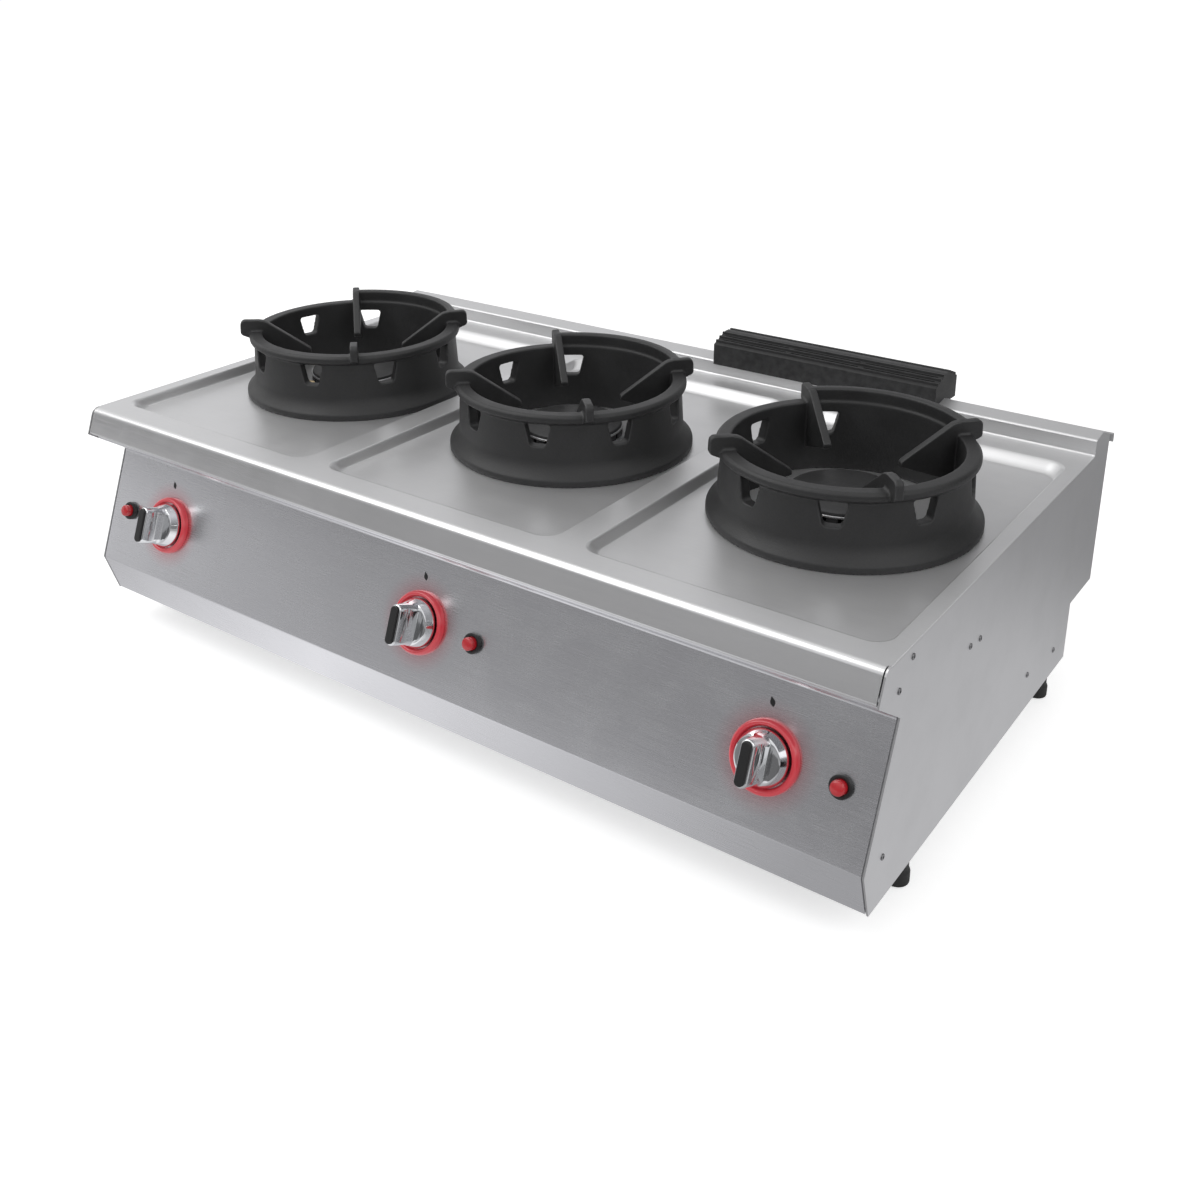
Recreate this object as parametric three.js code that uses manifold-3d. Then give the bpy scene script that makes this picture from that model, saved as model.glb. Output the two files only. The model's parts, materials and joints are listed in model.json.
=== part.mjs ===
// A countertop gas wok range with three open burners, in millimetres, +Z up.
// The origin is the middle of its footprint, on the surface that the feet stand on.
// The front, with the knobs, faces -Y.

import * as THREE from "three";
import { mergeVertices } from "three/addons/utils/BufferGeometryUtils.js";
import Module from "manifold-3d";

const wasm = await Module();
wasm.setup();

// ---- Driving dimensions ----

// The body.
const width = 1200;
const depth = 730;
const footHeight = 50;
const bodyHeight = 280;
const bayCount = 3;
const sheet = 2; // steel sheet of the worktop and the side panels
const thinSheet = 1.5; // steel sheet of everything inside
const fitGap = 0.3; // between pieces that touch
const endGap = 1.5; // between a side panel and the end of the lip or control panel

// The front.
const lipHeight = 35; // its face slants like the control panel
const lipBack = 3; // the lip's lower edge, behind the nose of the control panel
const lipReturn = 9;
const frontBend = 10;
const panelBelowLip = 38; // from the lip's lower edge down to the panel's upper edge
const noseHeight = 57; // the control panel's nose, above the bottom of the body
const panelSlant = THREE.MathUtils.degToRad(21);
const bevelBack = 18;
const bottomReturn = 26;
const hookHeight = 18; // the panel's upper flange, behind the lip
const hookGap = 4;

// The worktop.
const basinFront = 54; // all three from the nose of the control panel or the bay's edge
const basinBehind = 41; // flat strip between the basin and the upstand
const basinSide = 18;
const basinDepth = 13.5;
const basinCorner = 24;
const basinSlope = { side: 8, front: 15, back: 21 }; // run of each wall on plan
const upstandDepth = 84; // from its face to the rear edge
const upstandHeight = 22;
const upstandShelf = 28; // its top, which rises a little to a crest at the back
const crestRise = 4;
const rearFall = 20; // from the crest to the rear edge
const rearLip = 12;
const rearOverhang = 22; // of the worktop behind the side panels
const sheetBend = 4;
const collarGap = 5; // round the burner's neck
const collarWall = 3;
const collarHeight = 5;
const cutThrough = 9; // how far a tool that cuts a sheet reaches past each of its faces

// The recess for the gas connection, at the bottom of the back.
const recessDepth = 86;
const recessHeight = 80;

// Frame.
const flangeWidth = 14;
const heelWidth = 3; // of the strip that the back panel is fixed to
const heelGap = 20; // below the worktop
const flangeEnd = 0.85; // share of the bevel that the front flange runs down
const footFlange = 46;
const insideBend = 3; // radius of the folds in everything inside
const floorLip = 16; // folded up at the back of the floor
const floorStart = 10; // behind the control panel's bevel
const slotWidth = 7;
const floorSlots = 5;
const floorSlotLength = 120;
const floorSlotPitch = 30;
const backSlots = 6;
const backSlotLength = 46;
const backSlotPitch = 24;
const backSlotDrop = 45; // below the worktop
const webGap = 4; // between a basin and the rail beside it
const railWidth = 20;
const railDrop = 15; // of the ledge below the basins
const bearerWidth = 140;
const bearerFlange = 14;
const potHoleGap = 3;

// Wok rings, measured from the basin floor.
const ringSetback = 4; // ring centre behind the basin's middle
const ringBaseRadius = 162;
const ringBaseEdge = 8;
const ringFlareTop = 28;
const ringWallRadius = 146.5; // under the bead
const ringWall = 12.5;
const ringTaper = 2.5; // how much wider the wall is where the flare starts
const ringHeight = 90;
const ringBead = 6;
const ringBeadHeight = 15;
const beadSlope = 6; // height of the bead's underside
const rearRimRise = 17;
const rimInset = 4; // of the raised rim's outside from the bead's
const windowCount = 8;
const windowPitch = THREE.MathUtils.degToRad(41);
const windowBottom = 42;
const windowHeight = 29;
const windowTopWidth = 34;
const windowBottomWidth = 20;
const windowCorner = 4;
const finThickness = 10;
const finReach = 66; // radius of the inner tip
const finTipBottom = 54;
const finTipHeight = 6;
const finTop = 108;
const finShoulder = 130; // radius where the sloping top ends
const finOverhang = 12.5; // past the bead
const finTail = 28;

// Burners.
const neckRadius = 41;
const neckWall = 6;
const neckRise = 7; // above the basin floor
const burnerFlange = 58;
const flangeThickness = 4;
const potCorner = 10;
const burnerPot = 60; // from the bearer down to the bottom of the casting
const hornRadius = 20;
const hornWall = 4;
const hornLength = 150;
const hornMouth = 30;
const mouthLength = 24;
const hornWaist = 3; // how much narrower the horn is halfway
const headRadius = 68;
const headHeight = 25;
const headWall = 5;
const headBevel = 6; // of its lower edge
const headCrown = 9; // from the top of its side to its top
const headPorts = 8;
const portWidth = 8;
const spigotDepth = 10;
const spigotGap = 0.6;
const spigotWall = 4;
const pilotOffset = 96;
const pilotRadius = 5;
const pilotRise = 30;
const pilotFoot = 11;
const pilotHood = 7; // radius of its top
const pilotHoleGap = 2.5;
const pipeRadius = 5;
const jetLength = 22;
const jetRadius = 7;
const jetTipRadius = 2.5;
const jetTaper = 8;
const jetGap = 5; // from the jet's tip to the horn's mouth

// Knobs, from the front face of the control panel.
const knobDrop = 83; // from the panel's upper edge
const knobEndMargin = 127;
const knobTravel = 5;
const knobRadius = 30;
const knobLift = 7;
const spindleHoleGap = 2;
const bezelGap = 1.2; // between the bezel and the knob's skirt
const skirtHeight = 9;
const gripLength = 50;
const gripWidth = 21;
const gripFront = 48;
const gripCorner = 8;
const gripFlare = 2; // how much wider the grip is where it meets the skirt
const gripWaist = 2.5; // depth of the finger hollow in each side
const insertThickness = 2.8; // over the whole front of the grip
const insertEdge = 1;
const tongueLength = 30; // of the insert's tongue in the grip
const tongueWidth = 8;
const tongueDepth = 4;
const scoopRadius = 15; // of those finger hollows
const bezelRadius = 39;
const bezelHeight = 8;
const spindleRadius = 4;
const spindleFlat = 1;
const spindleReach = 24;
const spindleTail = 36;
const runningGap = 0.4;

// Gas valves and the pipe that feeds them.
const valveWidth = 30;
const valveHeight = 34;
const valveFront = 22;
const valveBack = 60;
const valveNeck = 9;
const plugRadius = 8;
const plugEnd = 50;
const manifoldRadius = 10.65;
const manifoldWall = 2.6;
const manifoldBehind = 64;
const manifoldEnd = 34; // past the outer knobs
const pipeHoleGap = 2;
const outletLength = 10;
const outletRadius = 7;
const inletMargin = 55; // from the side to the inlet's centre
const inletBelow = 38; // inlet centre, under the recess's ceiling
const inletStub = 48;
const inletCollar = 15;
const collarLength = 18;
const inletDepth = 30; // of the bore in its end

// Igniters.
const igniterSpacing = 85;
const igniterSides = [-1, 1, 1]; // which side of its knob each one is on
const igniterBezel = 12.5;
const igniterBezelHeight = 5;
const buttonRadius = 8;
const buttonProud = 9; // in front of the bezel
const buttonTail = 12;
const buttonTravel = 7;
const igniterBody = 10;
const igniterLength = 38;
const igniterNut = 14;
const nutHeight = 5;

// Flue.
const capLength = 350;
const capOffset = 9; // from the edge between two bays
const capWall = 4;
const capFrontBottom = 18; // above the worktop
const capShoulder = 49;
const capRidge = 62;
const capRidgeWidth = 10;
const capOverhang = 5; // in front of the upstand
const capDepth = 74;
const capRibs = 3;
const ribHeight = 3;
const ribWidth = 4;
const ductLength = 290;
const ductDepth = 34;
const ductRise = 6;
const ductDrop = 110;

// Feet.
const footInset = 22;
const footFront = 143;
const footRear = 593;
const footRadius = 14;
const footTopRadius = 12;

// ---- Places worked out from them ----

const bodyBottom = footHeight;
const worktopZ = footHeight + bodyHeight;
const lipBottomZ = worktopZ - lipHeight;
const panelTopZ = lipBottomZ - panelBelowLip;
const noseZ = bodyBottom + noseHeight;
const panelTopY = (panelTopZ - noseZ) * Math.tan(panelSlant);
const sideX = width / 2;
const bayWidth = width / bayCount;
const innerX = sideX - sheet - fitGap; // for pieces between the side panels
const frontEndX = sideX - sheet - endGap;
const lipTopY = lipBack + lipHeight * Math.tan(panelSlant);
const bendRun = frontBend * Math.tan((Math.PI / 2 - panelSlant) / 2);
const cornerY = lipTopY + bendRun + 1; // behind here the worktop covers the side panels
const upstandY = depth - upstandDepth;
const basinBack = upstandY - basinBehind;
const upstandZ = worktopZ + upstandHeight;
const crestY = upstandY + upstandShelf;
const crestZ = upstandZ + crestRise;
const rearZ = crestZ - rearFall;
const rearSlope = rearFall / (depth - crestY);
const basinFloorZ = worktopZ - basinDepth;
const ringY = (basinFront + basinBack) / 2 + ringSetback;
const sideBackY = depth - rearOverhang;
const recessY = sideBackY - recessDepth;
const recessZ = bodyBottom + recessHeight;
const bayCentres = Array.from({ length: bayCount }, (_, i) => (i - (bayCount - 1) / 2) * bayWidth);
const knobCentres = bayCentres.map((x) => (Math.sign(x) * (sideX - knobEndMargin)));
const collarRadius = neckRadius + collarGap + collarWall;
const railZ = basinFloorZ - sheet - railDrop;
const bearerZ = railZ + fitGap; // underside of the bearer
const bearerTop = bearerZ + thinSheet;
const hornZ = bearerZ - burnerPot / 2 - hornWall;
const frontWebY = basinFront - sheet - webGap;
const rearWebY = basinBack + sheet + webGap;
const capX = bayWidth / 2 + capOffset;
const ductFront = sideBackY - thinSheet - fitGap - ductDepth;
const spindleBore = spindleRadius + fitGap;
const manifoldHalf = sideX - knobEndMargin + manifoldEnd;
const inletX = sideX - inletMargin;

// ---- Facets round a full turn ----

const ringFacets = 32;
const burnerFacets = 16;
const knobFacets = 20;
const turnedFacets = 12;
const foldSteps = 3; // along each bend of a folded sheet

// ---- Colours and finishes ----

const brushedSteel = { color: 0xb4b5b7, roughness: 0.38, metalness: 1 };
const shadedSteel = { color: 0x98999c, roughness: 0.42, metalness: 1 };
const galvanised = { color: 0x9da1a4, roughness: 0.55, metalness: 0.9 };
const castIron = { color: 0x2b2b2c, roughness: 0.6, metalness: 0.35 };
const brass = { color: 0xb6975a, roughness: 0.35, metalness: 1 };
const chrome = { color: 0xdfe2e3, roughness: 0.08, metalness: 1 };
const blackPlastic = { color: 0x1b1b1c, roughness: 0.45, metalness: 0 };
const redPlastic = { color: 0xb3202c, roughness: 0.2, metalness: 0 };
const rubber = { color: 0x1a1a1a, roughness: 0.8, metalness: 0 };
const copper = { color: 0xb87350, roughness: 0.35, metalness: 1 };
const alloy = { color: 0xb9babb, roughness: 0.5, metalness: 0.9 };

// ---- Solids ----

function solidOf(geometry) {
  const bare = geometry.clone();
  bare.deleteAttribute("normal");
  bare.deleteAttribute("uv");
  const merged = mergeVertices(bare, 1e-4);
  return new wasm.Manifold(
    new wasm.Mesh({
      numProp: 3,
      vertProperties: new Float32Array(merged.attributes.position.array),
      triVerts: new Uint32Array(merged.index.array),
    }),
  );
}

function geometryOf(solid) {
  const mesh = solid.getMesh();
  const geometry = new THREE.BufferGeometry();
  geometry.setAttribute("position", new THREE.BufferAttribute(mesh.vertProperties, 3));
  geometry.setIndex(new THREE.BufferAttribute(mesh.triVerts, 1));
  geometry.computeVertexNormals();
  return geometry;
}

function join(first, ...others) {
  return others.reduce((whole, piece) => whole.add(piece), first);
}

function cut(whole, ...tools) {
  return tools.reduce((left, tool) => left.subtract(tool), whole);
}

// A box from its lowest to its highest corner.
function block([x0, y0, z0], [x1, y1, z1]) {
  const geometry = new THREE.BoxGeometry(x1 - x0, y1 - y0, z1 - z0);
  geometry.translate((x0 + x1) / 2, (y0 + y1) / 2, (z0 + z1) / 2);
  return solidOf(geometry);
}

// A round bar along Z, with its centre line at x, y.
function rod(radius, z0, z1, { x = 0, y = 0, segments = turnedFacets } = {}) {
  const geometry = new THREE.CylinderGeometry(radius, radius, z1 - z0, segments);
  geometry.rotateX(Math.PI / 2);
  geometry.translate(x, y, (z0 + z1) / 2);
  return solidOf(geometry);
}

// A closed outline of [radius, z] points turned about Z.
function revolve(outline, segments) {
  const points = outline.map(([r, z]) => new THREE.Vector2(r, z));
  if (THREE.ShapeUtils.isClockWise(points)) points.reverse();
  const closed = points[0].x === 0 && points.at(-1).x === 0;
  if (!closed) points.push(points[0].clone());
  const geometry = new THREE.LatheGeometry(points, segments);
  geometry.rotateX(Math.PI / 2);
  return solidOf(geometry);
}

// A flat outline of Vector2 points, or a Shape, pulled up from z0 to z1.
function pullUp(outline, z0, z1, curveSegments = 8) {
  const shape = outline instanceof THREE.Shape ? outline : new THREE.Shape(outline);
  const geometry = new THREE.ExtrudeGeometry(shape, { depth: z1 - z0, bevelEnabled: false, curveSegments });
  geometry.translate(0, 0, z0);
  return solidOf(geometry);
}

// A section of [y, z] points carried along X.
function barAlongX(section, x0, x1) {
  const shape = new THREE.Shape(section.map(([y, z]) => new THREE.Vector2(y, z)));
  const geometry = new THREE.ExtrudeGeometry(shape, { depth: x1 - x0, bevelEnabled: false });
  const alongX = new THREE.Matrix4().makeBasis(
    new THREE.Vector3(0, 1, 0),
    new THREE.Vector3(0, 0, 1),
    new THREE.Vector3(1, 0, 0),
  );
  geometry.applyMatrix4(alongX);
  geometry.translate(x0, 0, 0);
  return solidOf(geometry);
}

// A section of [x, z] points carried along Y.
function barAlongY(section, y0, y1) {
  const shape = new THREE.Shape(section.map(([x, z]) => new THREE.Vector2(x, z)));
  const geometry = new THREE.ExtrudeGeometry(shape, { depth: y1 - y0, bevelEnabled: false });
  geometry.rotateX(Math.PI / 2);
  geometry.translate(0, y1, 0);
  return solidOf(geometry);
}

// The rounded course of a fold line: each [a, b, radius] corner becomes an arc.
function roundedCourse(path, steps = foldSteps) {
  const course = [];
  path.forEach(([a, b, radius = 0], i) => {
    const corner = new THREE.Vector2(a, b);
    if (radius === 0 || i === 0 || i === path.length - 1) {
      course.push(corner);
      return;
    }
    const towards = (j) => new THREE.Vector2(path[j][0], path[j][1]).sub(corner).normalize();
    const before = towards(i - 1);
    const after = towards(i + 1);
    const halfAngle = Math.acos(before.dot(after)) / 2;
    const start = corner.clone().addScaledVector(before, radius / Math.tan(halfAngle));
    const inward = before.clone().add(after).normalize();
    const centre = corner.clone().addScaledVector(inward, radius / Math.sin(halfAngle));
    const turn = Math.PI - 2 * halfAngle;
    const side = Math.sign(before.cross(after));
    for (let k = 0; k <= steps; k++) {
      course.push(start.clone().rotateAround(centre, (-side * turn * k) / steps));
    }
  });
  return course;
}

// A course moved sideways by a distance, to its right where that is positive.
function shifted(course, distance) {
  const rightOf = (from, to) => new THREE.Vector2(to.y - from.y, from.x - to.x).normalize();
  return course.map((point, i) => {
    const into = i > 0 ? rightOf(course[i - 1], point) : null;
    const outOf = i < course.length - 1 ? rightOf(point, course[i + 1]) : null;
    const one = into ?? outOf;
    const two = outOf ?? into;
    const mitre = one.clone().add(two).divideScalar(1 + one.dot(two));
    return point.clone().addScaledVector(mitre, distance);
  });
}

// The section of a folded sheet: path is one face, and the sheet lies on its right,
// or on its left where the thickness is negative. A lining starts at a distance from the path.
function foldedSection(path, thickness, distance = 0) {
  const course = roundedCourse(path);
  const face = shifted(course, distance);
  const back = shifted(course, distance + thickness);
  return [...face, ...back.reverse()].map(({ x, y }) => [x, y]);
}

// A closed skin over level outlines that all have the same number of points.
function loft(levels) {
  const count = levels[0].outline.length;
  const positions = levels.flatMap(({ outline, z }) => outline.flatMap(({ x, y }) => [x, y, z]));
  const index = [];
  for (let level = 0; level < levels.length - 1; level++) {
    for (let i = 0; i < count; i++) {
      const a = level * count + i;
      const b = level * count + ((i + 1) % count);
      index.push(a, b, b + count, a, b + count, a + count);
    }
  }
  const top = (levels.length - 1) * count;
  for (const [a, b, c] of THREE.ShapeUtils.triangulateShape(levels[0].outline, [])) {
    index.push(c, b, a);
  }
  for (const [a, b, c] of THREE.ShapeUtils.triangulateShape(levels.at(-1).outline, [])) {
    index.push(top + a, top + b, top + c);
  }
  const geometry = new THREE.BufferGeometry();
  geometry.setAttribute("position", new THREE.Float32BufferAttribute(positions, 3));
  geometry.setIndex(index);
  return solidOf(geometry);
}

// A tube of the given radius along a smooth curve through points.
function pipeAlong(points, radius, steps, sides = 8) {
  const section = new THREE.Shape();
  section.absarc(0, 0, radius, 0, 2 * Math.PI);
  const course = new THREE.CatmullRomCurve3(points, false, "centripetal");
  const geometry = new THREE.ExtrudeGeometry(section, {
    steps,
    curveSegments: sides / 2,
    extrudePath: course,
  });
  return solidOf(geometry);
}

// Anticlockwise points of a rounded rectangle.
function roundedRectangle(x0, x1, y0, y1, radius, steps = 4) {
  const corners = [
    [x1 - radius, y1 - radius],
    [x0 + radius, y1 - radius],
    [x0 + radius, y0 + radius],
    [x1 - radius, y0 + radius],
  ];
  return corners.flatMap(([cx, cy], i) =>
    Array.from({ length: steps + 1 }, (_, k) => {
      const angle = (i + k / steps) * (Math.PI / 2);
      return new THREE.Vector2(cx + radius * Math.cos(angle), cy + radius * Math.sin(angle));
    }),
  );
}

function piece(name, solid, finish) {
  const mesh = new THREE.Mesh(geometryOf(solid), new THREE.MeshStandardMaterial(finish));
  mesh.name = name;
  return mesh;
}

// ---- Frames of reference ----

// Until it is moved at the end, Y is counted from the nose of the control panel.
const range = new THREE.Group();
range.name = "wok_range";

// The front face of the control panel: x along it, y up it and z out of it,
// from the middle of its upper edge.
const panelFace = new THREE.Group();
panelFace.position.set(0, panelTopY, panelTopZ);
panelFace.rotation.x = Math.PI / 2 - panelSlant;
panelFace.updateMatrix();
range.add(panelFace);

function fromPanel(x, y, z) {
  return new THREE.Vector3(x, y, z).applyMatrix4(panelFace.matrix);
}

// A solid modelled on the panel's face, put where the panel is.
function ontoPanel(solid) {
  return solid.transform(panelFace.matrix.toArray());
}

function numbered(name, i) {
  return name + "_" + (i + 1);
}

// ---- The worktop: one folded sheet with a pressed basin in each bay ----

const worktopPath = [
  [lipBack + lipReturn, lipBottomZ],
  [lipBack, lipBottomZ, sheet + 1],
  [lipTopY, worktopZ, frontBend],
  [upstandY, worktopZ, sheetBend],
  [upstandY, upstandZ, sheetBend],
  [crestY, crestZ, sheetBend],
  [depth, rearZ, sheetBend],
  [depth, rearZ - rearLip],
];

// The basin's wall runs out and down along an S, from 0 at its rim to 1 at its floor.
function basinLevels(x, thickness, lift) {
  const steps = 3;
  const levels = [];
  for (let k = steps; k >= 0; k--) {
    const share = k / steps;
    const run = share;
    const fall = share * share * (3 - 2 * share);
    const half = bayWidth / 2 - basinSide - basinSlope.side * run + thickness;
    const front = basinFront + basinSlope.front * run - thickness;
    const back = basinBack - basinSlope.back * run + thickness;
    levels.push({
      outline: roundedRectangle(x - half, x + half, front, back, basinCorner + thickness),
      z: worktopZ - basinDepth * fall - thickness,
    });
  }
  levels.push({ outline: levels.at(-1).outline, z: worktopZ + lift });
  return levels;
}

function worktop() {
  let top = barAlongX(foldedSection(worktopPath, sheet), -sideX, sideX);
  for (const x of bayCentres) {
    top = top.add(loft(basinLevels(x, sheet, -sheet / 2)));
    top = top.subtract(loft(basinLevels(x, 0, 1)));
    const round = { x, y: ringY, segments: burnerFacets };
    const collar = rod(collarRadius, basinFloorZ - sheet, basinFloorZ + collarHeight, round);
    const through = [basinFloorZ - cutThrough, basinFloorZ + cutThrough];
    const burnerHole = rod(collarRadius - collarWall, ...through, round);
    const pilotHole = rod(pilotRadius + pilotHoleGap, ...through, { x, y: ringY - pilotOffset });
    top = cut(top.add(collar), burnerHole, pilotHole);
  }
  // The lip stops short of the side panels, whose edges show beside it.
  for (const side of [-1, 1]) {
    const [x0, x1] = [side * frontEndX, side * (sideX + 1)].sort((a, b) => a - b);
    top = top.subtract(block([x0, -1, lipBottomZ - 1], [x1, cornerY, worktopZ + 1]));
  }
  const flueHole = block(
    [capX - ductLength / 2 - 1, ductFront - 1, worktopZ - 20],
    [capX + ductLength / 2 + 1, ductFront + ductDepth + 1, crestZ + 1],
  );
  return top.subtract(flueHole);
}

// ---- Side panels, with flanges that carry the panel, the floor and the feet ----

// The control panel's front face, from its hook behind the lip down to its return below.
const hookY = lipBack + lipReturn + hookGap;
const hookZ = lipBottomZ - (hookY - lipBack) * (panelBelowLip / (panelTopY - lipBack));
const panelPath = [
  [hookY, hookZ + hookHeight],
  [hookY, hookZ, sheetBend],
  [panelTopY, panelTopZ, sheetBend],
  [0, noseZ, sheetBend],
  [bevelBack, bodyBottom, sheetBend],
  [bevelBack + bottomReturn, bodyBottom],
];

function sideOutline() {
  const under = sheet + fitGap;
  const rear = [[cornerY - fitGap, worktopZ], ...worktopPath.slice(3, 6), [depth, rearZ]];
  const belowTop = shifted(roundedCourse(rear), under).slice(0, -1);
  const backTopZ = crestZ - (sideBackY - crestY) * rearSlope - under * Math.hypot(1, rearSlope);
  const front = roundedCourse([
    [lipBack, lipBottomZ],
    [lipTopY, worktopZ, frontBend],
    [cornerY - fitGap, worktopZ],
  ]);
  return [
    ...[...front, ...belowTop].map(({ x, y }) => [x, y]),
    [sideBackY, backTopZ],
    [sideBackY, recessZ],
    [recessY, recessZ],
    [recessY, bodyBottom],
    [bevelBack, bodyBottom],
    [0, noseZ],
    [panelTopY, panelTopZ],
  ];
}

function sidePanel(side) {
  const span = (a, b) => [side * a, side * b].sort((p, q) => p - q);
  const skin = barAlongX(sideOutline(), ...span(sideX - sheet, sideX));
  const lining = [...panelPath.slice(2, 4), [bevelBack * flangeEnd, noseZ - noseHeight * flangeEnd]];
  const flange = barAlongX(
    foldedSection(lining, -thinSheet, -sheet - fitGap),
    ...span(sideX - flangeWidth, sideX - 1),
  );
  const [footX0, footX1] = span(sideX - footFlange, sideX - 1);
  const bottom = block(
    [footX0, bevelBack + bottomReturn + 1, bodyBottom],
    [footX1, recessY - 1, bodyBottom + sheet],
  );
  const [heelX0, heelX1] = span(sideX - flangeWidth, sideX - 1);
  const heelBack = sideBackY - thinSheet - fitGap;
  const heel = block(
    [heelX0, heelBack - heelWidth, recessZ + thinSheet + 2],
    [heelX1, heelBack, worktopZ - heelGap],
  );
  return join(skin, bottom, flange, heel);
}

// ---- Control panel ----

function controlPanel() {
  let panel = barAlongX(foldedSection(panelPath, -sheet), -frontEndX, frontEndX);
  knobCentres.forEach((x, i) => {
    const buttonX = x + igniterSides[i] * igniterSpacing;
    const spindleHole = rod(spindleRadius + spindleHoleGap, -cutThrough, cutThrough, { x, y: -knobDrop });
    const buttonHole = rod(igniterBody + runningGap, -cutThrough, cutThrough, { x: buttonX, y: -knobDrop });
    panel = cut(panel, ontoPanel(spindleHole), ontoPanel(buttonHole));
  });
  return panel;
}

// ---- Floor, back and frame ----

function longSlot(length, z0, z1) {
  const half = length / 2 - slotWidth / 2;
  const shape = new THREE.Shape();
  shape.absarc(0, half, slotWidth / 2, 0, Math.PI);
  shape.absarc(0, -half, slotWidth / 2, Math.PI, 2 * Math.PI);
  return pullUp(shape, z0, z1, 1);
}

function bottomPanel() {
  const z = bodyBottom + sheet + fitGap;
  const path = [
    [recessY - thinSheet - fitGap, z + floorLip],
    [recessY - thinSheet - fitGap, z, insideBend],
    [bevelBack + floorStart, z],
  ];
  const halfWidth = innerX - flangeWidth;
  let floor = barAlongX(foldedSection(path, thinSheet), -halfWidth, halfWidth);
  for (const x of bayCentres) {
    for (let k = 0; k < floorSlots; k++) {
      const slot = longSlot(floorSlotLength, z - cutThrough, z + cutThrough);
      const across = x + (k - (floorSlots - 1) / 2) * floorSlotPitch;
      floor = floor.subtract(slot.translate([across, ringY, 0]));
    }
  }
  return floor;
}

function backPanel() {
  const path = [
    [sideBackY, worktopZ + 2],
    [sideBackY, recessZ, insideBend],
    [recessY, recessZ, insideBend],
    [recessY, bodyBottom + sheet + fitGap],
  ];
  let back = barAlongX(foldedSection(path, thinSheet), -innerX, innerX);
  for (const x of bayCentres) {
    for (let k = 0; k < backSlots; k++) {
      const slot = longSlot(backSlotLength, -cutThrough, cutThrough).rotate([90, 0, 0]);
      const across = x + (k - (backSlots - 1) / 2) * backSlotPitch;
      const slotZ = worktopZ - backSlotDrop - backSlotLength / 2;
      back = back.subtract(slot.translate([across, sideBackY, slotZ]));
    }
  }
  const hole = rod(manifoldRadius + pipeHoleGap, -cutThrough, cutThrough).rotate([90, 0, 0]);
  return back.subtract(hole.translate([inletX, recessY, recessZ - inletBelow]));
}

// A Z-shaped rail under the worktop: its web hangs down and its ledge carries the bearers.
function rail(webY, towards) {
  const topZ = worktopZ - sheet - fitGap;
  const path = [
    [webY - towards * railWidth, topZ],
    [webY, topZ, insideBend],
    [webY, railZ, insideBend],
    [webY + towards * railWidth, railZ],
  ];
  return barAlongX(foldedSection(path, towards * thinSheet), -innerX, innerX);
}

function bearer() {
  const half = bearerWidth / 2;
  const path = [
    [-half, bearerZ - bearerFlange],
    [-half, bearerTop, insideBend],
    [half, bearerTop, insideBend],
    [half, bearerZ - bearerFlange],
  ];
  const length = [frontWebY + insideBend + fitGap, rearWebY - insideBend - fitGap];
  const channel = barAlongY(foldedSection(path, thinSheet), ...length);
  const through = [bearerZ - cutThrough, bearerTop + cutThrough];
  const potHole = rod(neckRadius + potHoleGap, ...through, { y: ringY, segments: burnerFacets });
  // The flanges stop short of the rails' ledges.
  const ends = [
    [length[0] - 1, length[0] + railWidth],
    [length[1] - railWidth, length[1] + 1],
  ].map(([y0, y1]) => block([-half - 1, y0, bearerZ - bearerFlange - 1], [half + 1, y1, bearerZ]));
  return cut(channel, potHole, ...ends);
}

// ---- Burners ----

// The casting under the worktop: a pot with a neck, a flange and a horn that takes in air and gas.
function burnerCasting() {
  const flangeZ = bearerTop + fitGap - basinFloorZ;
  const potBottom = bearerZ - basinFloorZ - burnerPot;
  const axisZ = hornZ - basinFloorZ;
  const bore = neckRadius - neckWall;
  const outside = revolve(
    [
      [0, potBottom],
      [neckRadius - potCorner, potBottom],
      [neckRadius, potBottom + potCorner],
      [neckRadius, flangeZ],
      [burnerFlange, flangeZ],
      [burnerFlange, flangeZ + flangeThickness],
      [neckRadius, flangeZ + flangeThickness],
      [neckRadius, neckRise],
      [0, neckRise],
    ],
    burnerFacets,
  );
  const inside = revolve(
    [
      [0, potBottom + neckWall],
      [bore - potCorner, potBottom + neckWall],
      [bore, potBottom + neckWall + potCorner],
      [bore, neckRise + 1],
      [0, neckRise + 1],
    ],
    burnerFacets,
  );
  const lay = (solid) => solid.rotate([90, 0, 0]).translate([0, 0, axisZ]);
  const horn = revolve(
    [
      [0, neckRadius - 2 * neckWall],
      [hornRadius, neckRadius - 2 * neckWall],
      [hornRadius - hornWaist, hornLength / 2],
      [hornRadius, hornLength - mouthLength],
      [hornMouth, hornLength],
      [0, hornLength],
    ],
    turnedFacets,
  );
  const throat = revolve(
    [
      [0, 0],
      [hornRadius - hornWall, 0],
      [hornRadius - hornWall - hornWaist, hornLength / 2],
      [hornRadius - hornWall, hornLength - mouthLength],
      [hornMouth - hornWall, hornLength + 1],
      [0, hornLength + 1],
    ],
    turnedFacets,
  );
  return cut(join(outside, lay(horn)), inside, lay(throat));
}

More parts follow.
